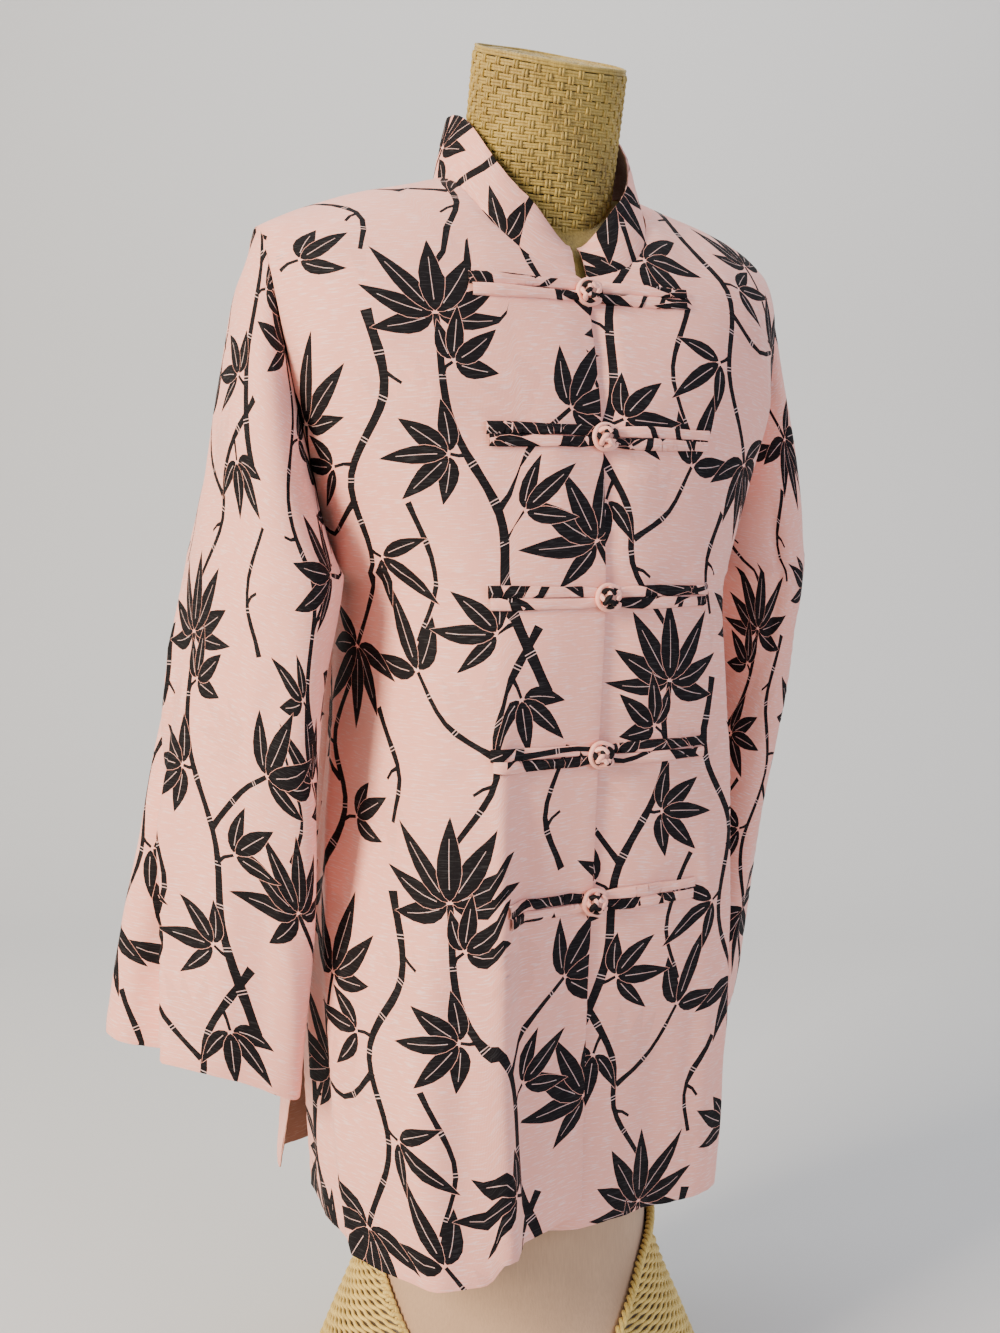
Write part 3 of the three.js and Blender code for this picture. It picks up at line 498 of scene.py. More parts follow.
def sleeve_row(side, turns, down):
    """A ring of the sleeve: down is 0 at the armhole and 1 at the cuff."""
    line = np.zeros((len(turns), 3))
    for face, chosen in (("front", turns < 0), ("back", turns >= 0)):
        turn = turns[chosen]
        size = np.abs(turn)
        seam_z = armhole(face, side, size)[2]
        ends = CUFF_FRONT if face == "front" else CUFF_REAR
        sides = np.where(np.cos(turn) > 0, CUFF_OUTER, CUFF_INNER)
        z = lerp(seam_z, lerp(sides, ends, np.sin(turn) ** 2), down)
        x, y = sleeve_section(side, turn, z)
        drop = np.clip((SHOULDER_END[1] - z) / (SHOULDER_END[1] - UNDERARM_Z), 0, 1)
        here = np.arccos(1 - 2 * drop)
        goal_x, goal_y, _ = armhole(face, side, here)
        own_x, own_y = sleeve_section(side, out_of(face) * here, np.maximum(z, UNDERARM_Z))
        near = np.where(here > 1e-9, np.minimum(1, size / np.maximum(here, 1e-9)) ** 2, 1)
        pull = near * np.where(z >= UNDERARM_Z, 1, 1 - smooth((UNDERARM_Z - z) / SLEEVE_SETTLE))
        x = x + (goal_x - own_x) * pull + side * SEAM_GAP
        y = y + (goal_y - own_y) * pull
        swing = np.radians(SLEEVE[side]["turn"](z))
        facing = np.where(np.cos(turn) >= 0, 1, -1)
        for fold in SLEEVE_FOLDS[side]:
            away = (np.degrees(turn) - fold["at"] + 540) % 360 - 180
            grow = smooth((fold["to"] - z) / (fold["to"] - CUFF_FRONT))
            lift = fold["depth"] * grow * np.exp(-((away / fold["width"]) ** 2))
            x = x + side * facing * lift * np.cos(swing)
            y = y - facing * lift * np.sin(swing)
        line[chosen] = np.stack([x, y, z], axis=1)
    return line


SLEEVE_AROUND, SLEEVE_DOWN, SLEEVE_CROWDING = 96, 110, 1.25  # rows crowd towards the armhole


def sleeve_grid(side):
    """Rows from the cuff up to the armhole, and once around from the underarm line."""
    turns = np.linspace(-np.pi, np.pi, SLEEVE_AROUND + 1)
    downs = np.linspace(0, 1, SLEEVE_DOWN + 1)[::-1] ** SLEEVE_CROWDING
    grid = np.array([sleeve_row(side, turns, down) for down in downs])
    grid[:, -1] = grid[:, 0]
    return grid


# ------------------------------------------------------------------ creases in the cloth

# Each crease runs between two places in the flat cloth (mm from the centre line or the outside
# of the sleeve, and mm above the hem). A crease with a negative height is a trough.
CREASE_COLUMNS = "u0 v0 u1 v1 width height"
CREASES = {
    "front_right": rows(
        CREASE_COLUMNS,
        (60, 330, 66, 60, 11, -1.6), (108, -30, 103, 250, 12, -2.0), (78, -20, 80, 170, 8, -1.4),
        (150, -30, 138, 210, 13, 3.0), (176, -30, 166, 160, 12, -2.6), (216, -40, 205, 260, 12, 3.2),
        (246, -20, 228, 190, 10, -2.4), (270, -30, 262, 330, 9, 2.6), (86, 236, 60, 252, 5, -1.3),
        (88, 342, 52, 330, 5, -1.2), (90, 340, 140, 300, 8, -1.5), (88, 446, 130, 420, 8, -1.2),
        (84, 548, 126, 520, 8, -1.3), (92, 560, 150, 610, 11, 1.8), (96, 640, 168, 560, 14, -1.7),
        (180, 640, 222, 520, 12, 2.2), (205, 600, 232, 470, 10, -2.4), (222, 560, 246, 400, 9, 2.2),
        (40, 560, 30, 470, 12, 1.2), (46, 300, 40, 200, 12, -1.1), (20, 130, 26, -30, 12, 1.4),
        (56, 110, 58, -30, 11, -1.6), (120, 420, 116, 300, 13, 1.4), (160, 470, 168, 330, 15, -1.6),
        (200, 430, 204, 300, 12, 1.6), (60, 690, 120, 640, 9, -1.0), (140, 730, 190, 660, 10, 1.4),
    ),
    "front_left": rows(
        CREASE_COLUMNS,
        (6, 362, 100, 354, 8, -3.4), (22, 322, 70, 336, 6, 1.8), (60, 380, 92, 420, 8, 1.5),
        (36, 234, 82, 262, 8, -2.4), (24, 214, 60, 222, 6, 1.4), (30, 450, 80, 470, 9, -1.7),
        (34, 556, 84, 572, 9, -1.6), (24, 650, 70, 640, 8, -1.4), (20, 640, 16, 560, 6, 1.6),
        (18, 530, 14, 440, 6, 1.3), (90, 300, 100, 200, 9, 1.9), (108, -40, 104, 190, 12, 2.6),
        (132, -30, 124, 140, 10, -2.2), (62, -40, 58, 150, 13, -2.0), (34, -40, 30, 190, 10, 1.7),
        (168, -30, 160, 240, 12, 2.4), (206, -30, 200, 210, 11, -2.2), (150, 640, 206, 520, 12, 2.0),
        (178, 600, 214, 450, 10, -2.1), (110, 700, 168, 610, 12, 1.3), (130, 470, 136, 330, 14, -1.5),
    ),
    "back": rows(
        CREASE_COLUMNS,
        (-30, -40, -22, 250, 14, 3.4), (-96, -40, -84, 330, 16, -3.6), (-150, -30, -140, 240, 13, 3.2),
        (-214, -40, -196, 300, 14, -2.8), (44, -40, 38, 210, 14, -3.0), (104, -30, 96, 340, 15, 3.6),
        (172, -40, 158, 230, 13, -2.8), (232, -30, 214, 280, 14, 2.8), (-20, 690, -120, 640, 13, -1.8),
        (26, 690, 132, 636, 13, -1.7), (-150, 620, -206, 470, 13, 2.8), (-176, 640, -226, 520, 9, -2.2),
        (156, 616, 206, 460, 13, 2.6), (182, 640, 228, 510, 9, -2.1), (-60, 560, -52, 430, 18, 1.8),
        (64, 540, 70, 400, 18, 1.6), (-6, 420, 4, 300, 20, -2.0),
    ),
    "sleeve_right": rows(
        CREASE_COLUMNS,
        (46, -30, 30, 300, 9, -3.6), (18, -30, 10, 330, 12, 2.6), (-40, -30, -34, 240, 10, 2.4),
        (-66, -30, -56, 300, 10, -2.2), (-92, -20, -76, 210, 9, 2.0), (78, -30, 66, 230, 10, 2.2),
        (104, -30, 96, 300, 10, -2.0), (-110, 320, -60, 220, 9, -2.0), (-96, 360, -46, 300, 8, 1.8),
        (-60, 430, -24, 340, 10, -1.8), (-30, 560, -40, 430, 12, -1.7), (26, 560, 30, 420, 13, 1.8),
        (60, 480, 40, 380, 11, -1.7), (90, 400, 60, 330, 10, 1.6), (6, 460, 0, 350, 14, -1.4),
    ),
    "sleeve_left": rows(
        CREASE_COLUMNS,
        (30, -30, 26, 280, 10, -3.0), (4, -30, -4, 330, 11, 2.4), (-28, -30, -36, 250, 9, -2.4),
        (-60, -30, -56, 320, 11, 2.6), (-90, -30, -80, 220, 9, -2.0), (66, -30, 58, 240, 10, 2.2),
        (98, -30, 88, 300, 10, -2.0), (-100, 340, -50, 250, 9, -2.2), (-88, 380, -36, 330, 8, 1.9),
        (-40, 450, -10, 360, 10, -1.7), (20, 540, 10, 400, 12, 1.8), (60, 470, 44, 370, 11, -1.7),
        (-10, 560, -26, 470, 12, -1.5),
    ),
    "collar": rows(
        CREASE_COLUMNS,
        (-60, -10, -52, 50, 9, -0.7), (70, -10, 64, 50, 9, 0.7),
    ),
}


# Sharp folds: the cloth bends at them instead of rounding over.
SHARP_FOLDS = {
    "front_right": rows(
        CREASE_COLUMNS,
        (75, 450, 86, -230, 12, 11.0), (56, 400, 62, -230, 10, -6.5), (20, 300, 26, -120, 10, -2.0),
        (232, 440, 214, -140, 15, 7.0), (150, 330, 160, -140, 13, -4.0),
    ),
    "front_left": rows(
        CREASE_COLUMNS,
        (112, 500, 139, -110, 14, 6.0), (84, 330, 92, -90, 13, -3.0), (30, 200, 22, -60, 14, -2.2),
    ),
    "back": rows(
        CREASE_COLUMNS,
        (-120, 420, -112, -120, 20, 4.5), (70, 400, 76, -130, 20, 4.5), (190, 430, 186, -110, 16, 3.5),
    ),
    "sleeve_right": rows(
        CREASE_COLUMNS,
        (66, 360, 20, 90, 12, 7.5), (31, 250, -2, -120, 11, 11.0), (80, 340, 38, 90, 8, -6.0),
        (49, 240, 17, -120, 7, -13.5), (-70, 330, -52, 60, 12, 2.6),
    ),
    "sleeve_left": rows(
        CREASE_COLUMNS,
        (-140, 430, -160, 270, 9, -4.5), (-100, 400, -96, 120, 12, 3.0), (-60, 260, -64, -60, 12, 3.4),
        (40, 300, 30, -60, 12, 3.0),
    ),
}


def crease_height(name, u, v):
    """Height of a piece's creases over the places (u, v) in its flat cloth."""
    total = np.zeros_like(u)
    for crease in SHARP_FOLDS.get(name, ()):
        across, ends = crease_place(crease, u, v)
        away = np.sqrt(across**2 + 1.4) - 1.2
        total += crease["height"] * np.exp(-away / crease["width"]) * ends
    for crease in CREASES.get(name, ()):
        across, ends = crease_place(crease, u, v)
        # One flank is steeper than the other.
        flank = np.where(across > 0, 0.75, 1.25)
        total += crease["height"] * np.exp(-((across / (crease["width"] * flank)) ** 2)) * ends
    return total


def crease_place(crease, u, v):
    """Distance from a crease's slightly wavering line, and how far it has grown there."""
    start = np.array([crease["u0"], crease["v0"]], float)
    run = np.array([crease["u1"], crease["v1"]], float) - start
    long = np.linalg.norm(run)
    run /= long
    du, dv = u - start[0], v - start[1]
    t = (du * run[0] + dv * run[1]) / long
    across = dv * run[0] - du * run[1] + 0.12 * crease["width"] * np.sin(9 * t)
    return across, smooth(t / 0.3) * smooth((1 - t) / 0.3)


def waver(u, v, seed):
    """Gentle unevenness of cloth that hangs free."""
    flat = [noise.noise(Vector((a / WAVER_SIZE, b / (1.6 * WAVER_SIZE), seed)))
            for a, b in zip(u.flat, v.flat)]
    return WAVER_HEIGHT * np.array(flat).reshape(u.shape)


HEM_DEPTH, HEM_LINE = 22, -0.45  # the turned hem's sewn edge shows as a faint line
WAVER_SIZE, WAVER_HEIGHT = 46, 1.5
SEAM_DIP, SEAM_WIDTH = -0.45, 2.6
PUCKER, PUCKER_EVERY, PUCKER_REACH = 0.28, 13, 9

# ------------------------------------------------------------------ a piece's outer face


def running_across(grid):
    """The steps across each row of a grid, and the running length along it."""
    across = np.linalg.norm(np.diff(grid, axis=1), axis=2)
    return across, np.concatenate([np.zeros((len(grid), 1)), np.cumsum(across, axis=1)], axis=1)


class Cloth:
    """The outer face of a piece as a fine grid, with each point's place in the flat cloth.

    measured gives the flat places across from the running lengths, outward the side that shows.
    """

    def __init__(self, name, grid, measured, outward, edges):
        self.name = name
        self.wrap = bool(np.allclose(grid[:, 0], grid[:, -1]))
        across, run = running_across(grid)
        u = measured(run, grid)
        up = np.linalg.norm(np.diff(grid, axis=0), axis=2)
        up = np.sqrt(np.maximum(up**2 - np.diff(u, axis=0) ** 2, (0.2 * up) ** 2))
        v = np.concatenate([np.zeros((1, grid.shape[1])), np.cumsum(up, axis=0)], axis=0)
        self.flat = np.stack([u, v], axis=2)
        self.size = (float(run[:, -1].max()), float(v.max()))
        self.area = float((across[:-1] * up[:, :-1]).sum()) * MM * MM
        self.step = (float(across.mean()), float(up.mean()))
        normals = self.normals_of(grid, outward)
        near = self.distance_to(edges, u, v, run)
        sewn = self.distance_to([edge for edge in edges if edge != "foot"], u, v, run)
        lift = crease_height(name, u, v) * smooth(sewn / 14)
        lift += waver(u, v, len(name)) * smooth(sewn / 20)
        lift += seam_relief(near, u + v)
        lift += HEM_LINE * np.exp(-(((v - HEM_DEPTH) / 1.8) ** 2)) * ("foot" in edges)
        self.grid = grid + normals * lift[:, :, None]
        if self.wrap:
            self.grid[:, -1] = self.grid[:, 0]
        self.normals = self.normals_of(self.grid, outward)
        self.near = near

    def normals_of(self, grid, outward):
        if self.wrap:
            around = np.concatenate([grid[:, -2:-1], grid, grid[:, 1:2]], axis=1)
            du = (around[:, 2:] - around[:, :-2]) / 2
        else:
            du = np.gradient(grid, axis=1)
        dv = np.gradient(grid, axis=0)
        normals = unit(np.cross(du, dv))
        if (normals * outward(grid)).sum() < 0:
            normals = -normals
        return normals

    def distance_to(self, edges, u, v, run):
        """Distance over the cloth to the nearest sewn or open edge."""
        ways = {
            "start": run,
            "end": run[:, -1:] - run,
            "foot": v,
            "top": v[-1:, :] - v,
        }
        near = np.full(u.shape, 1e3)
        for edge in edges:
            near = np.minimum(near, ways[edge])
        return near

    def look_up(self, field, place):
        """Values of a grid of numbers at places (row, column), which may lie a little outside."""
        r = np.clip(np.floor(place[:, 0]).astype(int), 0, field.shape[0] - 2)
        c = np.clip(np.floor(place[:, 1]).astype(int), 0, field.shape[1] - 2)
        s, t = place[:, 0] - r, place[:, 1] - c
        if field.ndim == 3:
            s, t = s[:, None], t[:, None]
        low = field[r, c] * (1 - t) + field[r, c + 1] * t
        high = field[r + 1, c] * (1 - t) + field[r + 1, c + 1] * t
        return low * (1 - s) + high * s

    def find(self, wanted, field=None):
        """The places (row, column) where a grid of pairs holds the wanted pairs."""
        field = self.flat if field is None else field
        flat = field.reshape(-1, 2)
        columns = field.shape[1]
        nearest = np.concatenate([
            ((part[:, None, :] - flat[None, :, :]) ** 2).sum(axis=2).argmin(axis=1)
            for part in np.array_split(wanted, max(1, len(wanted) // 400))
        ])
        place = np.stack([nearest // columns, nearest % columns], axis=1).astype(float)
        for _ in range(4):
            r = np.clip(np.floor(place[:, 0]).astype(int), 0, field.shape[0] - 2)
            c = np.clip(np.floor(place[:, 1]).astype(int), 0, columns - 2)
            miss = wanted - self.look_up(field, place)
            by_row = (field[r + 1, c] - field[r, c] + field[r + 1, c + 1] - field[r, c + 1]) / 2
            by_col = (field[r, c + 1] - field[r, c] + field[r + 1, c + 1] - field[r + 1, c]) / 2
            det = by_row[:, 0] * by_col[:, 1] - by_row[:, 1] * by_col[:, 0]
            det = np.where(np.abs(det) < 1e-9, 1e-9, det)
            dr = (miss[:, 0] * by_col[:, 1] - miss[:, 1] * by_col[:, 0]) / det
            dc = (by_row[:, 0] * miss[:, 1] - by_row[:, 1] * miss[:, 0]) / det
            place += np.clip(np.stack([dr, dc], axis=1), -4, 4)
        return place


def seam_relief(near, along):
    """Cloth dips into its seams and at its edges, with small puckers."""
    dip = SEAM_DIP * np.exp(-((near / SEAM_WIDTH) ** 2))
    pull = np.sin(along * 2 * np.pi / PUCKER_EVERY + 2 * np.sin(along / 31))
    return dip + PUCKER * pull * np.exp(-near / PUCKER_REACH)


# ------------------------------------------------------------------ the bamboo print

TILE = (300.0, 380.0)
LEAF_LONG, LEAF_WIDE = 1.12, 1.2
GROUND, INK, LINE, TONE, WRONG = range(5)

# Canes of one repeat, from the thick end to the thin one: widths, leaves at the tip, where the
# first side shoot grows (0 for none), and given points.
CANES = rows(
    "thick thin leaves shoot points",
    (7.2, 4.4, 7, 52, ((24, -24), (50, 40), (56, 104), (88, 168), (92, 236))),
    (4.4, 3.0, 4, 0, ((57, 110), (30, 142), (6, 160))),
    (6.6, 4.0, 6, 40, ((136, 240), (130, 186), (160, 132), (150, 70), (176, 14))),
    (4.4, 2.8, 5, 0, ((158, 120), (186, 96), (216, 104))),
    (7.4, 4.4, 7, 60, ((222, -40), (252, 24), (244, 92), (274, 150), (266, 214), (288, 262))),
    (4.2, 2.8, 5, 44, ((246, 70), (216, 112), (198, 172))),
    (5.6, 3.6, 6, 30, ((30, 400), (58, 350), (62, 310), (92, 268))),
    (4.0, 2.6, 3, 0, ((62, 330), (92, 352), (112, 384))),
    (6.2, 4.0, 7, 40, ((216, 232), (190, 282), (204, 330), (178, 380))),
    (4.0, 2.6, 4, 0, ((196, 300), (228, 322), (250, 352))),
    (4.8, 3.0, 5, 34, ((150, 356), (128, 318), (134, 284))),
    (4.6, 2.8, 4, 30, ((10, 236), (24, 276), (8, 320))),
    (4.0, 2.8, 3, 0, ((118, 116), (98, 66), (112, 24))),
    (4.2, 2.8, 4, 0, ((290, 296), (272, 330), (286, 372))),
)
LEAF_GAP = 0.26  # the pale line left round each leaf
RIB_FOOT, RIB_FADE = 0.32, 0.18
TIP_LEAF, SIDE_LEAF, STALK = 12.8, 11.2, (2.6, 2.0)
SHOOT_EVERY = 62.0
FAN_ROOM = 40.0  # no two fans of leaves stand closer than this
FAN_COLUMNS = "x y heading spread leaves long wide"
JOINT_EVERY = 29.0
# Fans of leaves in the ground's own colour, a little darker.
TONE_FANS = rows(
    FAN_COLUMNS,
    (110, 160, 60, 150, 6, 44, 12),
    (196, 96, 120, 130, 5, 42, 12),
    (30, 170, 20, 110, 4, 40, 11),
    (200, 226, -60, 130, 6, 42, 12),
    (70, 340, 80, 120, 5, 42, 12),
    (270, 160, 150, 120, 5, 40, 12),
    (140, 300, -70, 120, 5, 40, 11),
    (255, 350, 30, 120, 5, 40, 11),
)


def leaf_outline(base, heading, long, wide, bend, grow=0.0):
    """A lanceolate leaf: outline, and a function that gives places along its midrib."""
    axis = np.array([math.cos(heading), math.sin(heading)])
    side = np.array([-axis[1], axis[0]])

    def rib(t):
        return base + axis * long * t + side * bend * long * t * t

    sides = []
    for t in (0.05, 0.17, 0.32, 0.5, 0.68, 0.84, 0.95):
        half = wide / 2 * math.sin(math.pi * t**0.78) ** 0.85 * (1.04 - 0.34 * t * t) + grow
        sides.append((t, half))
    tip = rib(1.0) + axis * grow
    root = rib(0.0) - axis * grow
    right = [rib(t) - side * half for t, half in sides]
    left = [rib(t) + side * half for t, half in reversed(sides)]
    return [root, *right, tip, *left], rib, side


def fan_shapes(fan, random_source, kinds):
    """A fan's leaves as (kind, outline) pairs, the lowest first."""
    count = int(fan["leaves"])
    spread = math.radians(fan["spread"])
    order = sorted(range(count), key=lambda i: -abs(2 * i - count + 1))
    shapes = []
    for i in order:
        place = i / (count - 1) - 0.5 if count > 1 else 0.0
        heading = math.radians(fan["heading"]) + spread * place + random_source.uniform(-0.13, 0.13)
        shrink = 1 - 0.3 * abs(2 * place) ** 1.5
        long = LEAF_LONG * fan["long"] * shrink * random_source.uniform(0.9, 1.12)
        wide = LEAF_WIDE * fan["wide"] * random_source.uniform(0.88, 1.12) * (0.85 + 0.15 * shrink)
        bend = -0.2 * place * 2 + random_source.uniform(-0.1, 0.1)
        base = np.array([fan["x"] + 2 * math.cos(heading), fan["y"] + 2 * math.sin(heading)])
        outline, rib, side = leaf_outline(base, heading, long, wide, bend)
        if kinds == "tone":
            shapes.append((TONE, outline))
            continue
        shapes.append((GROUND, leaf_outline(base, heading, long, wide, bend, grow=LEAF_GAP)[0]))
        shapes.append((INK, outline))
        edge = [(t, RIB_FOOT - RIB_FADE * t) for t in (0.14, 0.34, 0.54, 0.74)]
        right = [rib(t) - side * half for t, half in edge]
        left = [rib(t) + side * half for t, half in reversed(edge)]
        shapes.append((LINE, right + left))
    return shapes


def cane_shapes(thick, thin, points):
    """A cane with its joints: a tapered strip, slightly swollen at each pale joint line."""
    line = smooth_line(np.array([(x, y, 0) for x, y in points], float), 9.0)
    run = lengths(line)
    tangent = unit(np.gradient(line, axis=0))
    side = np.stack([-tangent[:, 1], tangent[:, 0]], axis=1)
    taper = lerp(thick, thin, run / run[-1]) / 2
    swell = 1 + 0.18 * np.exp(-(((run + 6) % JOINT_EVERY - 6) / 2.4) ** 2)
    half = (taper * swell)[:, None]
    flat = line[:, :2]
    shapes = [(INK, list(flat + side * half)[::-1] + list(flat - side * half))]
    for at in np.arange(JOINT_EVERY, run[-1] - 6, JOINT_EVERY):
        for shift in (-1.1, 1.1):
            middle = np.array([np.interp(at + shift, run, flat[:, k]) for k in (0, 1)])
            i = int(np.searchsorted(run, at))
            reach = side[i] * np.interp(at, run, taper) * 1.15
            width = tangent[i, :2] * 0.33
            shapes.append((LINE, [middle - reach - width, middle + reach - width,
                                  middle + reach + width, middle - reach + width]))
    return shapes


def smooth_line(points, step):
    """A smooth curve through points, at even steps."""
    padded = np.concatenate([[2 * points[0] - points[1]], points, [2 * points[-1] - points[-2]]])
    out = []
    for i in range(1, len(padded) - 2):
        a, b, c, d = padded[i - 1 : i + 3]
        for t in np.linspace(0, 1, 12, endpoint=False):
            out.append(0.5 * (2 * b + (c - a) * t + (2 * a - 5 * b + 4 * c - d) * t * t
                              + (3 * b - 3 * c + d - a) * t**3))
    out.append(points[-1])
    line = np.array(out)
    return evenly(line, max(2, int(lengths(line)[-1] / step)))


def shoots_of(cane, source):
    """The leaf fans that grow from a cane, and the stalks that carry the side ones."""
    line = smooth_line(np.array([(x, y, 0) for x, y in cane["points"]], float), 4.0)
    run = lengths(line)
    tangent = np.degrees(np.arctan2(*np.gradient(line, axis=0)[:, 1::-1].T))
    leaves = cane["leaves"]
    fans = [(*line[-1, :2], tangent[-1], 26 * leaves + 44, leaves, 46 + leaves, TIP_LEAF)]
    stalks = []
    side = source.choice((-1, 1))
    places = np.arange(cane["shoot"], run[-1] - 26, SHOOT_EVERY) if cane["shoot"] else []
    for at in places:
        i = int(np.searchsorted(run, at + source.uniform(-5, 5)))
        heading = tangent[i] + side * source.uniform(42, 66)
        way = np.array([math.cos(math.radians(heading)), math.sin(math.radians(heading))])
        long = source.uniform(9, 17)
        root, end = line[i, :2], line[i, :2] + way * long
        stalks.append((*STALK, (tuple(root), tuple((root + end) / 2 + side), tuple(end))))
        count = source.choice((2, 3, 4, 5))
        fans.append((*end, heading, 30 * count + 20, count, source.uniform(35, 44), SIDE_LEAF))
        side = -side
    return fans, stalks


def apart(a, b):
    """How far apart two places of the print are, over its repeats too."""
    gaps = [abs(p - q) % size for p, q, size in zip(a, b, TILE)]
    return math.hypot(*[min(gap, size - gap) for gap, size in zip(gaps, TILE)])


def print_tile():
    """One repeat of the print, as (kind, outline) pairs from the lowest to the top one."""
    source = random.Random(SEED)
    shapes, leaves, taken = [], [], []
    for fan in TONE_FANS:
        shapes += fan_shapes(fan, source, "tone")
    for cane in CANES:
        fans, stalks = shoots_of(cane, source)
        shapes += cane_shapes(cane["thick"], cane["thin"], cane["points"])
        for stalk in stalks:
            shapes += cane_shapes(*stalk)
        for fan in rows(FAN_COLUMNS, *fans):
            reach = 0.5 * fan["long"]
            heading = math.radians(fan["heading"])
            middle = (fan["x"] + reach * math.cos(heading), fan["y"] + reach * math.sin(heading))
            if all(apart(middle, other) > FAN_ROOM for other in taken):
                leaves += fan_shapes(fan, source, "ink")
                taken.append(middle)
    return [(kind, np.array(outline)) for kind, outline in shapes + leaves]


PRINT = print_tile()


def print_over(low, high, shift, turn=0.0):
    """The print that reaches into the box from low to high. Each column drops half a repeat."""
    swing = np.array([[math.cos(turn), math.sin(turn)], [-math.sin(turn), math.cos(turn)]])
    corners = np.array([low, (high[0], low[1]), high, (low[0], high[1])]) @ swing.T
    lowest, highest = corners.min(axis=0) - shift, corners.max(axis=0) - shift
    shapes = []
    for i in range(math.floor(lowest[0] / TILE[0]) - 1, math.ceil(highest[0] / TILE[0]) + 1):
        drop = TILE[1] / 2 * (i % 2)
        first = math.floor((lowest[1] - drop) / TILE[1]) - 1
        last = math.ceil((highest[1] - drop) / TILE[1]) + 1
        for j in range(first, last):
            move = np.array([shift[0] + i * TILE[0], shift[1] + drop + j * TILE[1]])
            for kind, outline in PRINT:
                moved = (outline + move) @ swing
                if (moved.max(axis=0) > low).all() and (moved.min(axis=0) < high).all():
                    shapes.append((kind, moved))
    return shapes


# ------------------------------------------------------------------ meshes from the cloth

MESH_STEP = 5.4
PRINT_MARGIN = 0.5
CUT_PAST = 1.5
EDGE_REACH = 7.0  # how far from a seam or edge the plain cloth takes painted shade and the ink turns paler


def printed_mesh(cloth, shifts, turn=0.0, step=MESH_STEP):
    """Triangles of the flat cloth with the print's outlines in them: places, faces and kinds."""
    wide, high = cloth.step
    scale = np.array([high, wide])
    size = (np.array(cloth.grid.shape[:2]) - 1) * scale
    low = cloth.flat.reshape(-1, 2).min(axis=0) - PRINT_MARGIN
    top = cloth.flat.reshape(-1, 2).max(axis=0) + PRINT_MARGIN
    shapes = [shape for shift in shifts for shape in print_over(low, top, shift, turn)]
    counts = [len(outline) for _, outline in shapes]
    place = cloth.find(np.concatenate([outline for _, outline in shapes])) * scale
    outlines = np.split(place, np.cumsum(counts)[:-1])
    points, faces, kinds = [], [], []

    def add(outline, kind):
        faces.append(list(range(len(points), len(points) + len(outline))))
        points.extend(Vector((float(a), float(b))) for a, b in outline)
        kinds.append(kind)

    add(border(size, step), None)
    for (kind, _), outline in zip(shapes, outlines):
        outline = clipped(outline, size)
        if len(outline) > 2 and abs(outline_area(outline)) > 0.3:
            add(outline if turns_left(outline) else outline[::-1], kind)
    for k, row in enumerate(np.arange(step, size[0] - step / 2, step * 0.87)):
        begin = step * (0.75 if k % 2 else 1.25)
        points.extend(Vector((float(row), float(col)))
                      for col in np.arange(begin, size[1] - step / 2, step))
    out_points, _, out_faces, _, _, sources = geometry.delaunay_2d_cdt(points, [], faces, 0, 1e-4)
    flat = np.array([(p.x, p.y) for p in out_points])
    sound = sound_shapes(flat, out_faces, sources, points, faces)
    kept, shown = [], []
    for face, source in zip(out_faces, sources):
        if 0 in source:
            top_one = max(n for n in source if sound[n])
            kept.append(face)
            shown.append(GROUND if top_one == 0 else kinds[top_one])
    return flat / scale, kept, shown


def clipped(outline, size):
    """The part of an outline that lies on the cloth, and a little past its edges."""
    for axis in (0, 1):
        for sign, limit in ((1, -CUT_PAST), (-1, -size[axis] - CUT_PAST)):
            height = sign * outline[:, axis] - limit
            kept = []
            for i, point in enumerate(outline):
                j = (i + 1) % len(outline)
                if height[i] >= 0:
                    kept.append(point)
                if (height[i] >= 0) != (height[j] >= 0):
                    kept.append(lerp(point, outline[j], height[i] / (height[i] - height[j])))
            if len(kept) < 3:
                return np.zeros((0, 2))
            outline = np.array(kept)
    return outline


def sound_shapes(flat, out_faces, sources, points, outlines):
    """Which outlines cover about their own area. One that crosses itself can cover far more."""
    covered = np.zeros(len(outlines))
    for face, source in zip(out_faces, sources):
        a, b, c = flat[face[:3]]
        area = abs((b[0] - a[0]) * (c[1] - a[1]) - (b[1] - a[1]) * (c[0] - a[0])) / 2
        covered[source] += area
    own = np.array([outline_area(np.array([points[i] for i in line])) for line in outlines])
    return covered < 2.0 * np.abs(own) + 1.0


def outline_area(outline):
    x, y = outline[:, 0], outline[:, 1]
    return float((x * np.roll(y, -1) - y * np.roll(x, -1)).sum() / 2)


def border(size, step):
    """The edge of the flat cloth, in even steps, turning left."""
    rows_at = np.linspace(0, size[0], max(2, round(size[0] / step)) + 1)
    cols_at = np.linspace(0, size[1], max(2, round(size[1] / step)) + 1)
    foot = [(0, c) for c in cols_at]
    end = [(r, size[1]) for r in rows_at]
    top = [(size[0], c) for c in cols_at[::-1]]
    start = [(r, 0) for r in rows_at[::-1]]
    loop = np.array(foot[:-1] + end[:-1] + top[:-1] + start[:-1])
    return loop if turns_left(loop) else loop[::-1]


def turns_left(outline):
    return outline_area(outline) > 0


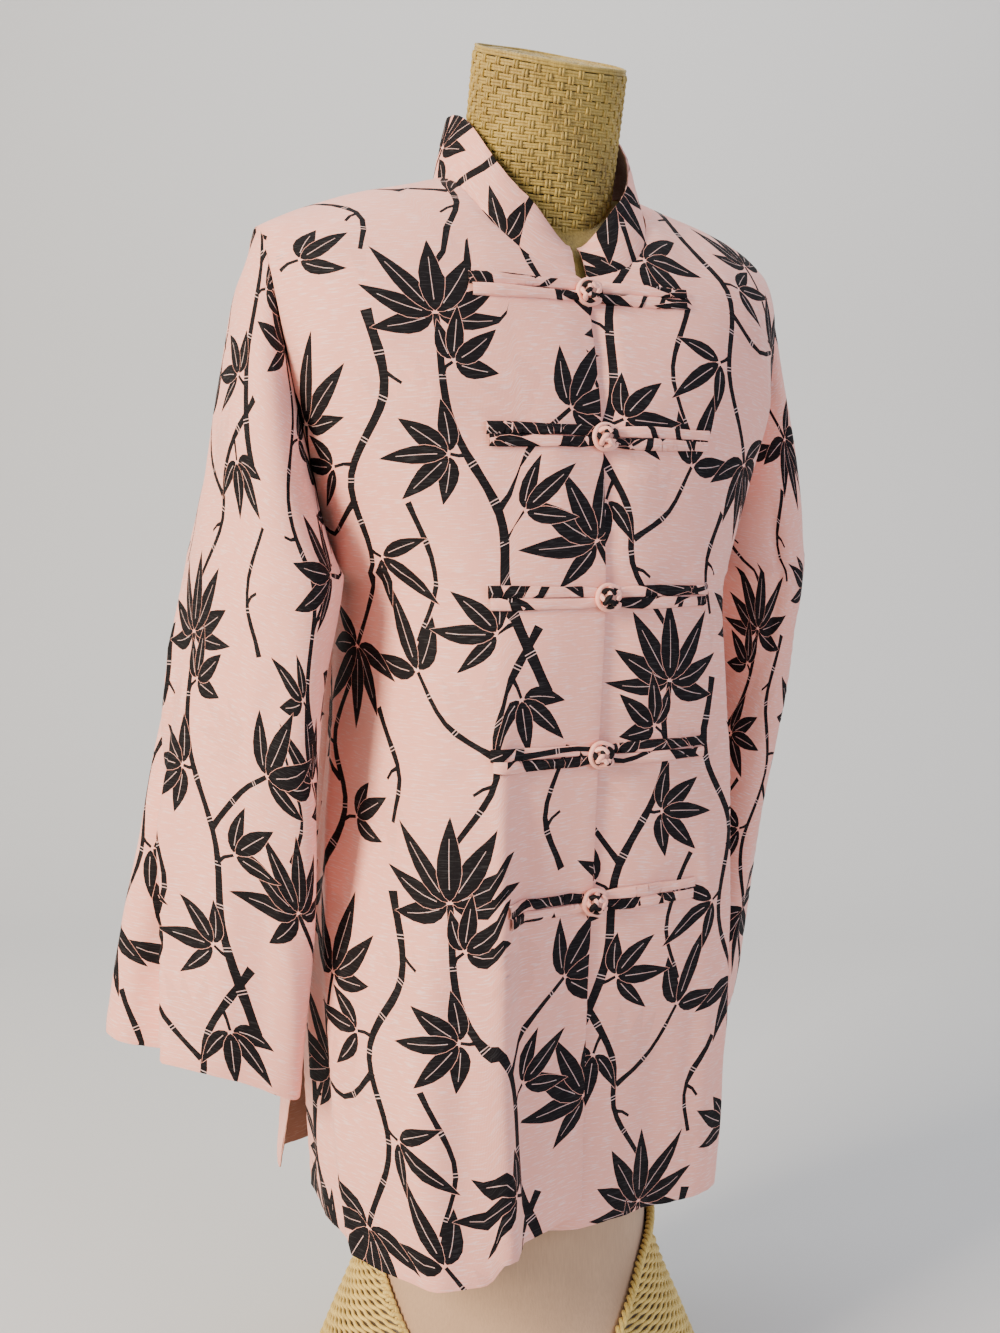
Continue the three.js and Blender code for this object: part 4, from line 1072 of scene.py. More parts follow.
def shell_object(name, cloth, places, faces, kinds, thickness):
    """A closed cloth wall: the outer face, the wrong side, and the rims between them."""
    outer = cloth.look_up(cloth.grid, places)
    normals = unit(cloth.look_up(cloth.normals, places))
    used = sorted({i for face in faces for i in face})
    index = {old: new for new, old in enumerate(used)}
    outer, normals, places = outer[used], normals[used], places[used]
    faces = [[index[i] for i in face] for face in faces]
    if wound_inward(outer, normals, faces):
        faces = [face[::-1] for face in faces]
    if cloth.wrap:
        twins = seam_pairs(places, cloth.grid.shape[1] - 1)
        faces = [[twins.get(i, i) for i in face] for face in faces]
    count = len(outer)
    inner = outer - normals * thickness
    rim = open_edges(faces)
    all_faces = list(faces)
    all_faces += [[i + count for i in face[::-1]] for face in faces]
    all_faces += [[b, a, a + count, b + count] for a, b in rim]
    shown = list(kinds) + [WRONG] * len(faces) + [GROUND] * len(rim)
    near = cloth.look_up(cloth.near, places)
    flat = cloth.look_up(cloth.flat, places)
    piece = mesh_object(name, np.concatenate([outer, inner]), all_faces, CLOTHS, shown)
    both = np.concatenate([normals, -normals])
    corners = np.array([i for face in all_faces for i in face])
    piece.data.normals_split_custom_set(both[corners].tolist())
    add_values(piece.data, "cloth", np.concatenate([flat, flat]) * MM)
    add_values(piece.data, "edge", np.exp(-np.concatenate([near, near]) / EDGE_REACH))
    drop_loose(piece.data)
    return piece


def drop_loose(mesh):
    """Points that no face uses, left by the seam's joined points, are taken away."""
    used = np.zeros(len(mesh.vertices), bool)
    corners = np.zeros(len(mesh.loops), int)
    mesh.loops.foreach_get("vertex_index", corners)
    used[corners] = True
    if used.all():
        return
    work = bmesh.new()
    work.from_mesh(mesh)
    work.verts.ensure_lookup_table()
    bmesh.ops.delete(work, geom=[v for v in work.verts if not used[v.index]], context="VERTS")
    work.to_mesh(mesh)
    work.free()


def wound_inward(points, normals, faces):
    """Whether the faces are wound against the outward direction."""
    some = faces[:: max(1, len(faces) // 500)]
    total = 0.0
    for a, b, c in (face[:3] for face in some):
        total += float(np.dot(np.cross(points[b] - points[a], points[c] - points[a]), normals[a]))
    return total < 0


def seam_pairs(places, last_col):
    """Points on a tube's end line, each with its twin on the start line."""
    start = {round(float(r), 3): i for i, (r, c) in enumerate(places) if c < 1e-3}
    end = {round(float(r), 3): i for i, (r, c) in enumerate(places) if c > last_col - 1e-3}
    return {i: start[r] for r, i in end.items() if r in start}


def open_edges(faces):
    """Edges used by one face only, in the direction of that face."""
    seen = {}
    for face in faces:
        for a, b in zip(face, face[1:] + face[:1]):
            key = (min(a, b), max(a, b))
            seen[key] = None if key in seen else (a, b)
    return [edge for edge in seen.values() if edge]


def add_values(mesh, name, values):
    """Keeps a number or a place in the flat cloth at each point, for the materials."""
    if values.ndim == 1:
        mesh.attributes.new(name, "FLOAT", "POINT").data.foreach_set("value", values)
        return
    padded = np.zeros((len(values), 3))
    padded[:, : values.shape[1]] = values
    mesh.attributes.new(name, "FLOAT_VECTOR", "POINT").data.foreach_set("vector", padded.ravel())


def mesh_object(name, points, faces, materials, indexes=None):
    """A smooth mesh through points in millimetres."""
    mesh = bpy.data.meshes.new(name)
    mesh.from_pydata((np.asarray(points) * MM).tolist(), [], faces)
    for material in materials:
        mesh.materials.append(material)
    if indexes is not None:
        mesh.polygons.foreach_set("material_index", indexes)
    mesh.polygons.foreach_set("use_smooth", [True] * len(faces))
    piece = bpy.data.objects.new(name, mesh)
    bpy.context.collection.objects.link(piece)
    return piece


def stand_for(piece, node):
    """Ties a visible piece to the body and hides the node that it is shown for."""
    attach(piece, "root")
    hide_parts(node)
    return piece


def surface_object(name, grid, material, wrap_rows=False, wrap_cols=False, caps=False):
    """A smooth mesh through a grid of points in millimetres."""
    count_rows, count_cols = grid.shape[:2]
    faces = []
    for r in range(count_rows if wrap_rows else count_rows - 1):
        for c in range(count_cols if wrap_cols else count_cols - 1):
            r1, c1 = (r + 1) % count_rows, (c + 1) % count_cols
            corners = ((r, c), (r, c1), (r1, c1), (r1, c))
            faces.append([row * count_cols + col for row, col in corners])
    if caps:
        faces.append(list(range(count_cols))[::-1])
        faces.append(list(range((count_rows - 1) * count_cols, count_rows * count_cols)))
    return mesh_object(name, grid.reshape(-1, 3), faces, [material])


TUBE_TIP = 0.45  # an open tube's end, as a share of its radius


def tube_parts(lines, radius, sides, closed=False):
    """Points and faces of tubes along lines of points, with rounded ends where they are open."""
    points, faces = [], []
    turns = np.arange(sides) * 2 * np.pi / sides
    for line in lines:
        if closed:
            tangent = unit(np.roll(line, -1, axis=0) - np.roll(line, 1, axis=0))
        else:
            tangent = unit(np.gradient(line, axis=0))
        up = carried_frame(tangent)
        aside = np.cross(tangent, up)
        size = np.full(len(line), float(radius))
        if not closed:
            size[[0, -1]] *= TUBE_TIP
        ring = line[:, None, :]
        for way, share in ((aside, np.cos(turns)), (up, np.sin(turns))):
            ring = ring + way[:, None, :] * (share[None, :, None] * size[:, None, None])
        base = len(points)
        points.extend(ring.reshape(-1, 3))
        total = len(line)
        for r in range(total if closed else total - 1):
            low, high = base + r * sides, base + (r + 1) % total * sides
            for c in range(sides):
                c1 = (c + 1) % sides
                faces.append([high + c, high + c1, low + c1, low + c])
        if not closed:
            faces.append([base + c for c in range(sides)])
            faces.append([base + (total - 1) * sides + c for c in range(sides)][::-1])
    return np.array(points), faces


def carried_frame(tangent):
    """A side direction that turns as little as it can along a line."""
    here = np.array([0, 0, 1.0]) if abs(tangent[0][2]) < 0.9 else np.array([1.0, 0, 0])
    out = []
    for t in tangent:
        here = here - t * float(np.dot(here, t))
        here = here / max(np.linalg.norm(here), 1e-9)
        out.append(here)
    return np.array(out)


# ------------------------------------------------------------------ materials


class Nodes:
    """Short names for making a material's nodes. An input is a socket to join or a plain value."""

    def __init__(self, name):
        self.material = bpy.data.materials.new(name)
        self.material.use_nodes = True
        self.tree = self.material.node_tree

    def put(self, node, inputs):
        for key, value in inputs.items():
            if isinstance(value, bpy.types.NodeSocket):
                self.tree.links.new(value, node.inputs[key])
            else:
                node.inputs[key].default_value = value

    def add(self, kind, inputs=None, **values):
        node = self.tree.nodes.new(kind)
        for key, value in values.items():
            setattr(node, key, value)
        self.put(node, inputs or {})
        return node

    def shaded(self, inputs):
        self.put(self.tree.nodes["Principled BSDF"], inputs)
        return self.material

    def attribute(self, name):
        return self.add("ShaderNodeAttribute", attribute_name=name)

    def places(self):
        return self.add("ShaderNodeTexCoord").outputs["Object"]

    def scaled(self, vector, scale):
        return self.add("ShaderNodeVectorMath", {0: vector, 1: scale}, operation="MULTIPLY").outputs[0]

    def noise(self, vector, scale, detail, roughness=0.55):
        inputs = {"Vector": vector, "Scale": scale, "Detail": detail, "Roughness": roughness}
        return self.add("ShaderNodeTexNoise", inputs).outputs["Fac"]

    def wave(self, vector, scale, direction):
        inputs = {"Vector": vector, "Scale": scale, "Distortion": 0.6, "Detail Scale": 2.0}
        return self.add("ShaderNodeTexWave", inputs, bands_direction=direction).outputs["Fac"]

    def ramp(self, value, low, high, to_low=0.0, to_high=1.0):
        inputs = {"Value": value, "From Min": low, "From Max": high, "To Min": to_low, "To Max": to_high}
        return self.add("ShaderNodeMapRange", inputs).outputs["Result"]

    def added(self, a, b):
        return self.add("ShaderNodeMath", {0: a, 1: b}, operation="ADD").outputs[0]

    def mix(self, factor, a, b):
        a, b = ((*value, 1) if isinstance(value, tuple) else value for value in (a, b))
        inputs = {"Factor": factor, "A": a, "B": b}
        return self.add("ShaderNodeMix", inputs, data_type="RGBA").outputs["Result"]

    def bump(self, height, strength, distance, after=None):
        inputs = {"Height": height, "Strength": strength, "Distance": distance}
        if after is not None:
            inputs["Normal"] = after
        return self.add("ShaderNodeBump", inputs).outputs["Normal"]


def tint(colour, share):
    return tuple(min(1.0, channel * share) for channel in colour)


def cloth_material(name, colour, slub=0.62, sheen=0.25, rough=0.68):
    """Plain-weave cloth with crosswise slubs and uneven dye; near seams and edges the plain cloth is
    darkened as painted shade and the ink made paler.
    """
    nodes = Nodes(name)
    place = nodes.attribute("cloth").outputs["Vector"]
    edge = nodes.attribute("edge").outputs["Fac"]
    slubs = nodes.noise(nodes.scaled(place, (95, 1050, 1)), 1.0, 2.0, 0.5)
    threads = nodes.noise(nodes.scaled(place, (260, 2600, 1)), 1.0, 2.0, 0.6)
    dye = nodes.noise(nodes.scaled(place, (1, 1, 1)), 9.0, 3.0)
    weave = nodes.added(nodes.wave(place, 330.0, "X"), nodes.wave(place, 330.0, "Y"))
    pale = tuple(lerp(channel, 1.0, 0.6) for channel in colour)
    bright = nodes.mix(nodes.ramp(slubs, 0.55, 0.62, 0.0, slub), colour, pale)
    threaded = nodes.mix(nodes.ramp(threads, 0.3, 0.75, 0.0, 0.4), bright, tint(colour, 0.86))
    dyed = nodes.mix(nodes.ramp(dye, 0.3, 0.75, 0.0, 0.55), threaded, tint(colour, 0.93))
    edge_shade_and_ink_fade = tint(colour, 1.3 if colour[0] < 0.1 else 0.8)  # near seams and edges the ink turns paler, and the plain cloth darker as painted shade
    return nodes.shaded({
        "Base Color": nodes.mix(nodes.ramp(edge, 0.35, 1.0, 0.0, 0.2), dyed, edge_shade_and_ink_fade),
        "Roughness": nodes.ramp(slubs, 0.3, 0.8, rough + 0.08, rough - 0.1),
        "Normal": nodes.bump(slubs, 0.3, 0.0003, nodes.bump(weave, 0.35, 0.00012)),
        "Sheen Weight": sheen,
        "Sheen Roughness": 0.45,
        "Specular IOR Level": 0.3 if sheen else 0.12,
    })


def cord_material(name, colour, dark_fibre_and_shade):
    """Twisted paper or straw cord, with painted shade in its hollows, so that its crowns look paler."""
    nodes = Nodes(name)
    place = nodes.places()
    streak = nodes.noise(nodes.scaled(place, (900, 900, 60)), 1.0, 4.0, 0.6)
    patch = nodes.noise(nodes.scaled(place, (1, 1, 1)), 26.0, 3.0)
    hollow_shade = nodes.add("ShaderNodeNewGeometry").outputs["Pointiness"]
    base = nodes.mix(nodes.ramp(streak, 0.32, 0.7), dark_fibre_and_shade, colour)
    patched = nodes.mix(nodes.ramp(patch, 0.3, 0.7, 0.0, 0.6), base, tint(colour, 1.12))
    return nodes.shaded({
        # Pointiness darkens the hollows between and along the cords: painted shade.
        "Base Color": nodes.mix(nodes.ramp(hollow_shade, 0.46, 0.54, 0.35, 0.0), patched, dark_fibre_and_shade),
        "Normal": nodes.bump(streak, 0.5, 0.0004),
        "Roughness": nodes.ramp(streak, 0.3, 0.7, 0.72, 0.5),
        "Sheen Weight": 0.1,
    })


def cover_material(name, colour):
    """The form's stretched jersey cover: fine vertical ribs and a soft nap."""
    nodes = Nodes(name)
    place = nodes.places()
    nap = nodes.noise(nodes.scaled(place, (1, 1, 1)), 420.0, 3.0)
    patch = nodes.noise(nodes.scaled(place, (1, 1, 1)), 14.0, 3.0)
    rib = nodes.noise(nodes.scaled(place, (900, 900, 90)), 1.0, 2.0)
    base = nodes.mix(nodes.ramp(patch, 0.3, 0.7), tint(colour, 0.86), tint(colour, 1.08))
    return nodes.shaded({
        "Base Color": nodes.mix(nodes.ramp(rib, 0.35, 0.7, 0.0, 0.4), base, tint(colour, 0.75)),
        "Normal": nodes.bump(nap, 0.3, 0.0003, nodes.bump(rib, 0.35, 0.0003)),
        "Roughness": nodes.ramp(nap, 0.3, 0.7, 0.92, 0.78),
        "Sheen Weight": 0.3,
        "Specular IOR Level": 0.25,
    })


PINK = (0.94, 0.42, 0.32)
CLOTHS = [
    cloth_material("jacket_ground", PINK),
    cloth_material("jacket_ink", (0.0065, 0.0050, 0.0058), slub=0.03, sheen=0.0, rough=0.72),
    cloth_material("jacket_line", (0.60, 0.38, 0.34)),
    cloth_material("jacket_tone", tint(PINK, 0.93), rough=0.5),
    cloth_material("jacket_wrong_side", (0.36, 0.17, 0.14), slub=0.2),
]
STRAW = cord_material("straw_cord", (0.44, 0.31, 0.06), (0.12, 0.07, 0.015))
YELLOW = cord_material("yellow_cord", (0.80, 0.58, 0.14), (0.32, 0.20, 0.045))
# A near-black straw for the hollows behind the woven cords: painted shade.
SHADE_STRAW = cord_material("shaded_straw", (0.07, 0.04, 0.012), (0.03, 0.018, 0.006))
COVER = cover_material("form_cover", (0.50, 0.32, 0.19))

# ------------------------------------------------------------------ the jacket's pieces

SHELL = 1.25  # thickness of the visible cloth
PANEL_COLUMNS = 66
ALL_EDGES = ("start", "end", "foot", "top")


def away_from(middle):
    def outward(grid):
        out = grid - np.array(middle, float)
        out[:, :, 2] = 0
        return out

    return outward


def from_column(column):
    """Measures the flat cloth across from one of its columns."""
    def across(run, points):
        return run - run[:, column : column + 1]

    return across


def from_middle(side):
    """Measures a front across from the jacket's middle plane."""
    def across(run, points):
        return run + side * points[:, :1, 0]

    return across


def plain_front(side):
    grid = half_panel("front", side, PANEL_COLUMNS, OVERLAP if side == LEFT else 0)
    if side == LEFT:
        tuck_under(grid)
    return grid


def plain_back():
    right = half_panel("back", RIGHT, PANEL_COLUMNS)
    left = half_panel("back", LEFT, PANEL_COLUMNS)
    return np.concatenate([right[:, ::-1], left[:, 1:]], axis=1)


def sleeve_outward(grid):
    out = grid - grid.mean(axis=1, keepdims=True)
    out[:, :, 2] = 0
    return out


def sleeve_cloth(name, side):
    across = from_column(SLEEVE_AROUND // 2)
    return Cloth(name, sleeve_grid(side), across, sleeve_outward, ("foot", "top"))


def neckline(fronts, back):
    """The neckline from the right front around the back to the left front."""
    rises = [rise if kind == "rise" else 0 for kind, rise in LEVELS]
    neck_row = int(np.searchsorted(rises, NECK_RISE - 1e-6))
    edge = {side: fronts[side][neck_row:-1, 0] for side in (RIGHT, LEFT)}
    top = back[-1]
    top = top[np.abs(top[:, 0]) < NECK_POINT[0]]
    right, left = ([[side * NECK_POINT[0], SHOULDER_Y, NECK_POINT[1]]] for side in (RIGHT, LEFT))
    return np.concatenate([edge[RIGHT], right, top, left, edge[LEFT][::-1]])


COLLAR_COLUMNS, COLLAR_RISES = 170, 20


def collar_cloth(line):
    line = evenly(line, COLLAR_COLUMNS)
    count = len(line)
    i = np.arange(count)
    from_end = np.minimum(i, count - 1 - i) / (count - 1)
    inward = np.array(COLLAR_CENTRE, float) - line
    inward[:, 2] = 0
    inward = unit(inward)
    back = smooth((line[:, 1] + COLLAR_REACH) / COLLAR_REACH)
    height = lerp(COLLAR_FRONT, COLLAR_BACK, back)
    grid = []
    for rise in np.linspace(0, 1, COLLAR_RISES + 1):
        rounding = 1 - COLLAR_ROUND * (1 - smooth(from_end * COLLAR_ROUND_SHARE)) * rise
        lean = rise * (COLLAR_LEAN + COLLAR_MORE_LEAN) * (1 - COLLAR_UPRIGHT * back) + COLLAR_INSET
        ring = line + inward * lean[:, None]
        ring[:, 2] += COLLAR_LIFT + rise * (height + COLLAR_MORE_RISE) * rounding
        part = COLLAR_GAP * (1 - COLLAR_CLOSES * rise) * np.exp(-from_end * (count - 1) / 3)
        ring[:, 0] += np.where(i < count / 2, -part, part)
        grid.append(ring)
    return Cloth("collar", np.array(grid), from_column(count // 2), away_from(COLLAR_CENTRE), ALL_EDGES)


PRINT_SHIFT = {
    "front_right": (18, 12),
    "front_left": (-40, 150),
    "back": (60, -70),
    "sleeve_right": (-84, 60),
    "sleeve_left": (30, -120),
    "collar": (12, 40),
}


def make_cloth_piece(cloth, thickness):
    places, faces, kinds = printed_mesh(cloth, [PRINT_SHIFT[cloth.name]])
    piece = shell_object(f"{cloth.name}_cloth", cloth, places, faces, kinds, thickness)
    return stand_for(piece, cloth.name)


def make_cloths():
    fronts = {side: plain_front(side) for side in (RIGHT, LEFT)}
    back = plain_back()
    ahead, behind = away_from((0, 60, 0)), away_from((0, -60, 0))
    return {
        "front_right": Cloth("front_right", fronts[RIGHT], from_middle(RIGHT), ahead, ALL_EDGES),
        "front_left": Cloth("front_left", fronts[LEFT], from_middle(LEFT), ahead, ALL_EDGES),
        "back": Cloth("back", back, from_column(PANEL_COLUMNS), behind, ALL_EDGES),
        "sleeve_right": sleeve_cloth("sleeve_right", RIGHT),
        "sleeve_left": sleeve_cloth("sleeve_left", LEFT),
        "collar": collar_cloth(neckline(fronts, back)),
    }


# ------------------------------------------------------------------ frog closures

TUBE_HALF, TUBE_HEIGHT, TUBE_LIFT = 3.95, 2.7, 0.5
TUBE_ALONG, TUBE_AROUND = 34, 12
TUBE_STEP, TUBE_SHELL, TUBE_TURN = 2.3, 0.9, 1.75
TUBE_LEVEL = 0.4  # how much of the front's slope a tube follows
TUBE_PINCH, TUBE_PINCH_OVER = 0.8, 12  # the tubes draw together beside the knot
TUBE_END, TUBE_END_OVER = 0.86, 3
TUBE_OVERLAP, TUBE_LONGER = 0.1, 1.5  # the upper tube of each pair is a little longer
TUBE_BIAS = (-40, 45)  # degrees by which each tube's cloth is turned
TUBE_PRINTS = (0, 113)  # two prints lie over each other, so that the folded cloth looks denser
LOOP_TUBE, KNOT_TUBE, KNOT_CORE, KNOT_CLEAR = 1.9, 1.8, 0.86, 0.2
LOOP_TURN, LOOP_CLEAR, LOOP_OPENS = 2.75, 0.6, 1.6
KNOT_LEADS, KNOT_BIGHTS, KNOT_SIDES, KNOT_PARTS = 3, 4, 8, 150
KNOT_SWING, KNOT_WEAVE = 0.98, 0.15
KNOT_INK = ((4, 15), (24, 35), (47, 58), (71, 78), (88, 99), (111, 117), (128, 140))


class FrontPlaces:
    """Finds places on a front's shown face by their distance from the centre edge and height."""

    def __init__(self, cloth, side):
        self.cloth = cloth
        run = running_across(cloth.grid)[1]
        if side == LEFT:
            edge = BODY["middleX"](cloth.grid[:, 0, 2])
            run -= np.array([[np.interp(e, row[:40, 0], r[:40])]
                             for e, row, r in zip(edge, cloth.grid, run)])
        self.field = np.stack([run, cloth.grid[:, :, 2]], axis=2)

    def at(self, reach, z):
        place = self.cloth.find(np.stack([reach, z], axis=1), self.field)
        normals = unit(self.cloth.look_up(self.cloth.normals, place))
        return self.cloth.look_up(self.cloth.grid, place), normals


def frog_tube(places, name, z, start, end, offset):
    """One folded tube of a frog's side, laid along the front: a flat, soft-edged half round."""
    reach = np.linspace(start, end, TUBE_ALONG + 1)
    middle, normals = places.at(reach, np.full_like(reach, z + offset))
    normals[:, 2] *= TUBE_LEVEL
    normals = unit(normals)
    up = np.array([0, 0, 1.0])
    up = unit(up - normals * normals[:, 2:3])
    turns = np.linspace(-TUBE_TURN, TUBE_TURN, TUBE_AROUND + 1)
    from_end = np.minimum(reach - start, end - reach)
    taper = TUBE_END + 0.14 * smooth(from_end / TUBE_END_OVER)
    pinch = lerp(1.0, TUBE_PINCH, smooth((start + TUBE_PINCH_OVER - reach) / TUBE_PINCH_OVER))
    grid = []
    for turn in turns:
        across = TUBE_HALF * np.sign(math.sin(turn)) * abs(math.sin(turn)) ** 0.8
        crown = np.sign(math.cos(turn)) * abs(math.cos(turn)) ** 0.6
        height = TUBE_LIFT + TUBE_HEIGHT * (0.42 + 0.58 * crown)
        wobble = 1 + 0.05 * np.sin(reach / 5 + 3 * turn + z)
        drawn = (across * pinch - offset * (1 - pinch))[:, None]
        grid.append(middle + up * drawn + normals * (height * taper * wobble)[:, None])
    grid = np.array(grid)

    def along(run, points):
        return run

    def outward(points):
        return np.broadcast_to(normals, points.shape)

    return Cloth(name, grid, along, outward, ())


def frog_side(places, side, number, frog):
    """Two tubes side by side, and on the left side the loop that holds the knot."""
    word = "right" if side == RIGHT else "left"
    name = f"frog{number}_{word}"
    parts = []
    begin = KNOT_RADIUS + KNOT_CLEAR
    for k, offset in enumerate((-TUBE_HALF + TUBE_OVERLAP, TUBE_HALF - TUBE_OVERLAP)):
        aside = 90 if side == LEFT else 0
        shifts = [(31 * number + 47 * k + more + aside, 57 * number + 83 * k + more)
                  for more in TUBE_PRINTS]
        cloth = frog_tube(places, name, frog["z"], begin, frog[word] + TUBE_LONGER * k, offset)
        mesh_parts = printed_mesh(cloth, shifts, math.radians(TUBE_BIAS[k]), TUBE_STEP)
        parts.append(shell_object(f"{name}_{k}", cloth, *mesh_parts, TUBE_SHELL))
    if side == LEFT:
        parts.append(knot_loop(frog, name))
    return stand_for(joined(parts, f"{name}_tubes"), name)


def knot_middle(frog):
    x = float(BODY["middleX"](frog["z"]))
    line = dense_row("front", RIGHT, front_level(frog["z"]))
    return np.array([x, line[0, 1] - KNOT_DEPTH - KNOT_LIFT, frog["z"]])


def front_level(z):
    if z <= UNDERARM_Z:
        return "z", z
    return "rise", NECK_RISE * (z - UNDERARM_Z) / (FRONT_NECK_Z - UNDERARM_Z)


def knot_loop(frog, name):
    """The tube's end, turned round the knot."""
    middle = knot_middle(frog)
    turns = np.linspace(-LOOP_TURN, LOOP_TURN, 34)
    opening = smooth((np.abs(turns) - 2.0) / 0.75)
    reach = KNOT_RADIUS + LOOP_CLEAR + LOOP_OPENS * opening
    line = np.stack([
        middle[0] - reach * np.cos(turns) * 0.98,
        np.full_like(turns, middle[1] + 2.6) + 1.2 * np.sin(turns) ** 2,
        middle[2] + reach * np.sin(turns) * 0.95,
    ], axis=1)
    return cloth_tube(f"{name}_loop", line, LOOP_TUBE)


def cloth_tube(name, line, radius, closed=False, ink=()):
    """A sewn tube in the jacket's cloth, with its own places in the flat cloth."""
    points, faces = tube_parts([line], radius, KNOT_SIDES, closed)
    indexes = [GROUND] * len(faces)
    for first, last in ink:
        indexes[first * KNOT_SIDES : last * KNOT_SIDES] = [INK] * ((last - first) * KNOT_SIDES)
    piece = mesh_object(name, points, faces, CLOTHS, indexes)
    run = np.repeat(lengths(line), KNOT_SIDES)
    around = np.tile(np.arange(KNOT_SIDES) * 1.3, len(line))
    add_values(piece.data, "cloth", np.stack([run, around], axis=1) * MM)
    add_values(piece.data, "edge", np.zeros(len(points)))
    return piece


def frog_knot(number, frog):
    """A ball knot: one tube that goes three times round and over and under itself."""
    name = f"frog{number}_knot"
    middle = knot_middle(frog)
    t = np.linspace(0, 1, KNOT_PARTS + 1)[:-1] + 0.07 * number
    lon = 2 * np.pi * KNOT_LEADS * t
    lat = KNOT_SWING * np.sin(2 * np.pi * KNOT_BIGHTS * t)
    lift = 1 + KNOT_WEAVE * np.cos(2 * np.pi * 2 * KNOT_BIGHTS * t + 0.4)
    core = KNOT_RADIUS - KNOT_TUBE - 0.5
    line = np.stack([
        core * lift * np.cos(lat) * np.cos(lon),
        -(KNOT_DEPTH - KNOT_TUBE + 0.7) * lift * np.sin(lat),
        core * lift * np.cos(lat) * np.sin(lon),
    ], axis=1) + middle
    strand = cloth_tube(f"{name}_strand", line, KNOT_TUBE, closed=True, ink=KNOT_INK)
    # The core ball under the strands takes the dark wrong-side cloth, as painted shade in the gaps
    # between the strands.
    turns = np.linspace(0, 2 * np.pi, 25)[:-1]
    ring = np.stack([np.cos(turns), np.zeros(24), np.sin(turns)], axis=1)
    grid = np.array([
        middle + KNOT_CORE * (core * math.cos(a) * ring - [0, KNOT_DEPTH * math.sin(a), 0])
        for a in np.linspace(-1.5, 1.5, 13)
    ])
    ball = surface_object(f"{name}_ball", grid, CLOTHS[WRONG], wrap_cols=True, caps=True)
    return stand_for(joined([strand, ball], f"{name}_ball"), name)


def joined(parts, name):
    """Several meshes as one piece, keeping each one's materials."""
    for part in parts:
        part.select_set(True)
    with bpy.context.temp_override(active_object=parts[0], selected_editable_objects=parts,
                                   selected_objects=parts, object=parts[0]):
        bpy.ops.object.join()
    parts[0].name = name
    parts[0].data.name = name
    parts[0].select_set(False)
    return parts[0]


def make_frogs(cloths):
    places = {RIGHT: FrontPlaces(cloths["front_right"], RIGHT),
              LEFT: FrontPlaces(cloths["front_left"], LEFT)}
    made = {RIGHT: [], LEFT: []}
    for number, frog in enumerate(FROGS, 1):
        for side in (RIGHT, LEFT):
            made[side].append(frog_side(places[side], side, number, frog))
        made[RIGHT].append(frog_knot(number, frog))
    return made


# ------------------------------------------------------------------ the dress form

FORM_ROWS = rows(
    "z half front back middleY",
    (0, 161, 161, 161, 0),
    (30, 150, 150, 150, 0),
    (65, 136, 136, 136, 0),
    (100, 121, 121, 121, 0),
    (132, 110, 110, 110, 0),
    (170, 108, 107, 107, 0),
    (250, 118, 108, 104, 0),
    (340, 124, 108, 100, -2),
    (440, 112, 98, 84, -8),
    (520, 108, 98, 78, -14),
    (600, 120, 112, 84, -20),
    (660, 130, 120, 92, -25),
)
FORM_ROLLS = rows(
    "part half", (0.86, 146), (0.62, 164), (0.4, 176), (0.2, 184), (0.07, 187), (0.008, 187),
)
FORM_AROUND, FORM_PARTS = 96, 6
FORM_DEPTH, FORM_TUCK, SEAT_GAP = 118, 0.1, 0.8
NECK_Y, BESIDE_NECK, BESIDE_NECK_Z = -51, 78, 800  # straw shows through the collar's gap here


def torso_rings():
    turn = np.arange(FORM_AROUND) * 2 * np.pi / FORM_AROUND
    across, back = np.cos(turn), np.sin(turn)
    rings = []
    for row in FORM_ROWS:
        depth = np.where(back > 0, row["back"], row["front"])
        ring = (row["half"] * across, row["middleY"] + depth * back, np.full_like(turn, row["z"]))
        rings.append(np.stack(ring, axis=1))
    for row in FORM_ROLLS:
        x = row["half"] * across
        roll = np.where(back < 0, ROLL_FRONT - ROLL_TAPER * np.abs(x), ROLL_BACK)
        z = shoulder_z(x) - WALL - SEAT_GAP - roll * row["part"]
        turned = math.sqrt(1 - (1 - row["part"]) ** 2)
        tuck = 1 - FORM_TUCK * row["part"]
        y = SHOULDER_Y + FORM_DEPTH * tuck * np.abs(back) * turned * np.sign(back)
        rings.append(np.stack([x, y, z], axis=1))
    return np.array(rings)


def smooth_rings(rings, parts):
    """Rings in between, so that the surface bends softly from one ring to the next."""
    count = len(rings)
    slope = np.gradient(rings, axis=0)
    out = []
    for i in range(count - 1):
        for t in np.arange(parts) / parts:
            here, leave, there, arrive = curve_shares(t)
            out.append(here * rings[i] + leave * slope[i]
                       + there * rings[i + 1] + arrive * slope[i + 1])
    out.append(rings[-1])
    return np.array(out)


def make_torso():
    rings = smooth_rings(torso_rings(), FORM_PARTS)
    piece = surface_object("form_torso", rings, COVER, wrap_cols=True, caps=True)
    piece.data.materials.append(STRAW)
    for face in piece.data.polygons:
        near_neck = math.hypot(face.center.x, face.center.y - NECK_Y * MM) < BESIDE_NECK * MM
        if near_neck and face.center.z > BESIDE_NECK_Z * MM:
            face.material_index = 1
    stand_for(piece, "form_body")


NECK_RADIUS, NECK_FOOT, NECK_TOP, NECK_LEAN, NECK_TILT = 54, -58, 84, 15, 8
NECK_BASE = (0, NECK_Y, 925)
CORD, PAIR_PITCH, PAIR_HALF, CORD_SEEN = 1.2, 4.8, 1.08, -36
CORD_SIDES, PAIR_DIP, PAIR_SLACK, CORD_INSET = 6, 0.9, 0.2, 0.5
LID_CORD, LID_PITCH, LID_DROP = 1.3, 2.5, 2.6
STITCHES, STITCH_LIFT, STITCH_HALF, STITCH_REACH, STITCH_CORD = 22, 0.95, 1.15, 2.7, 1.1


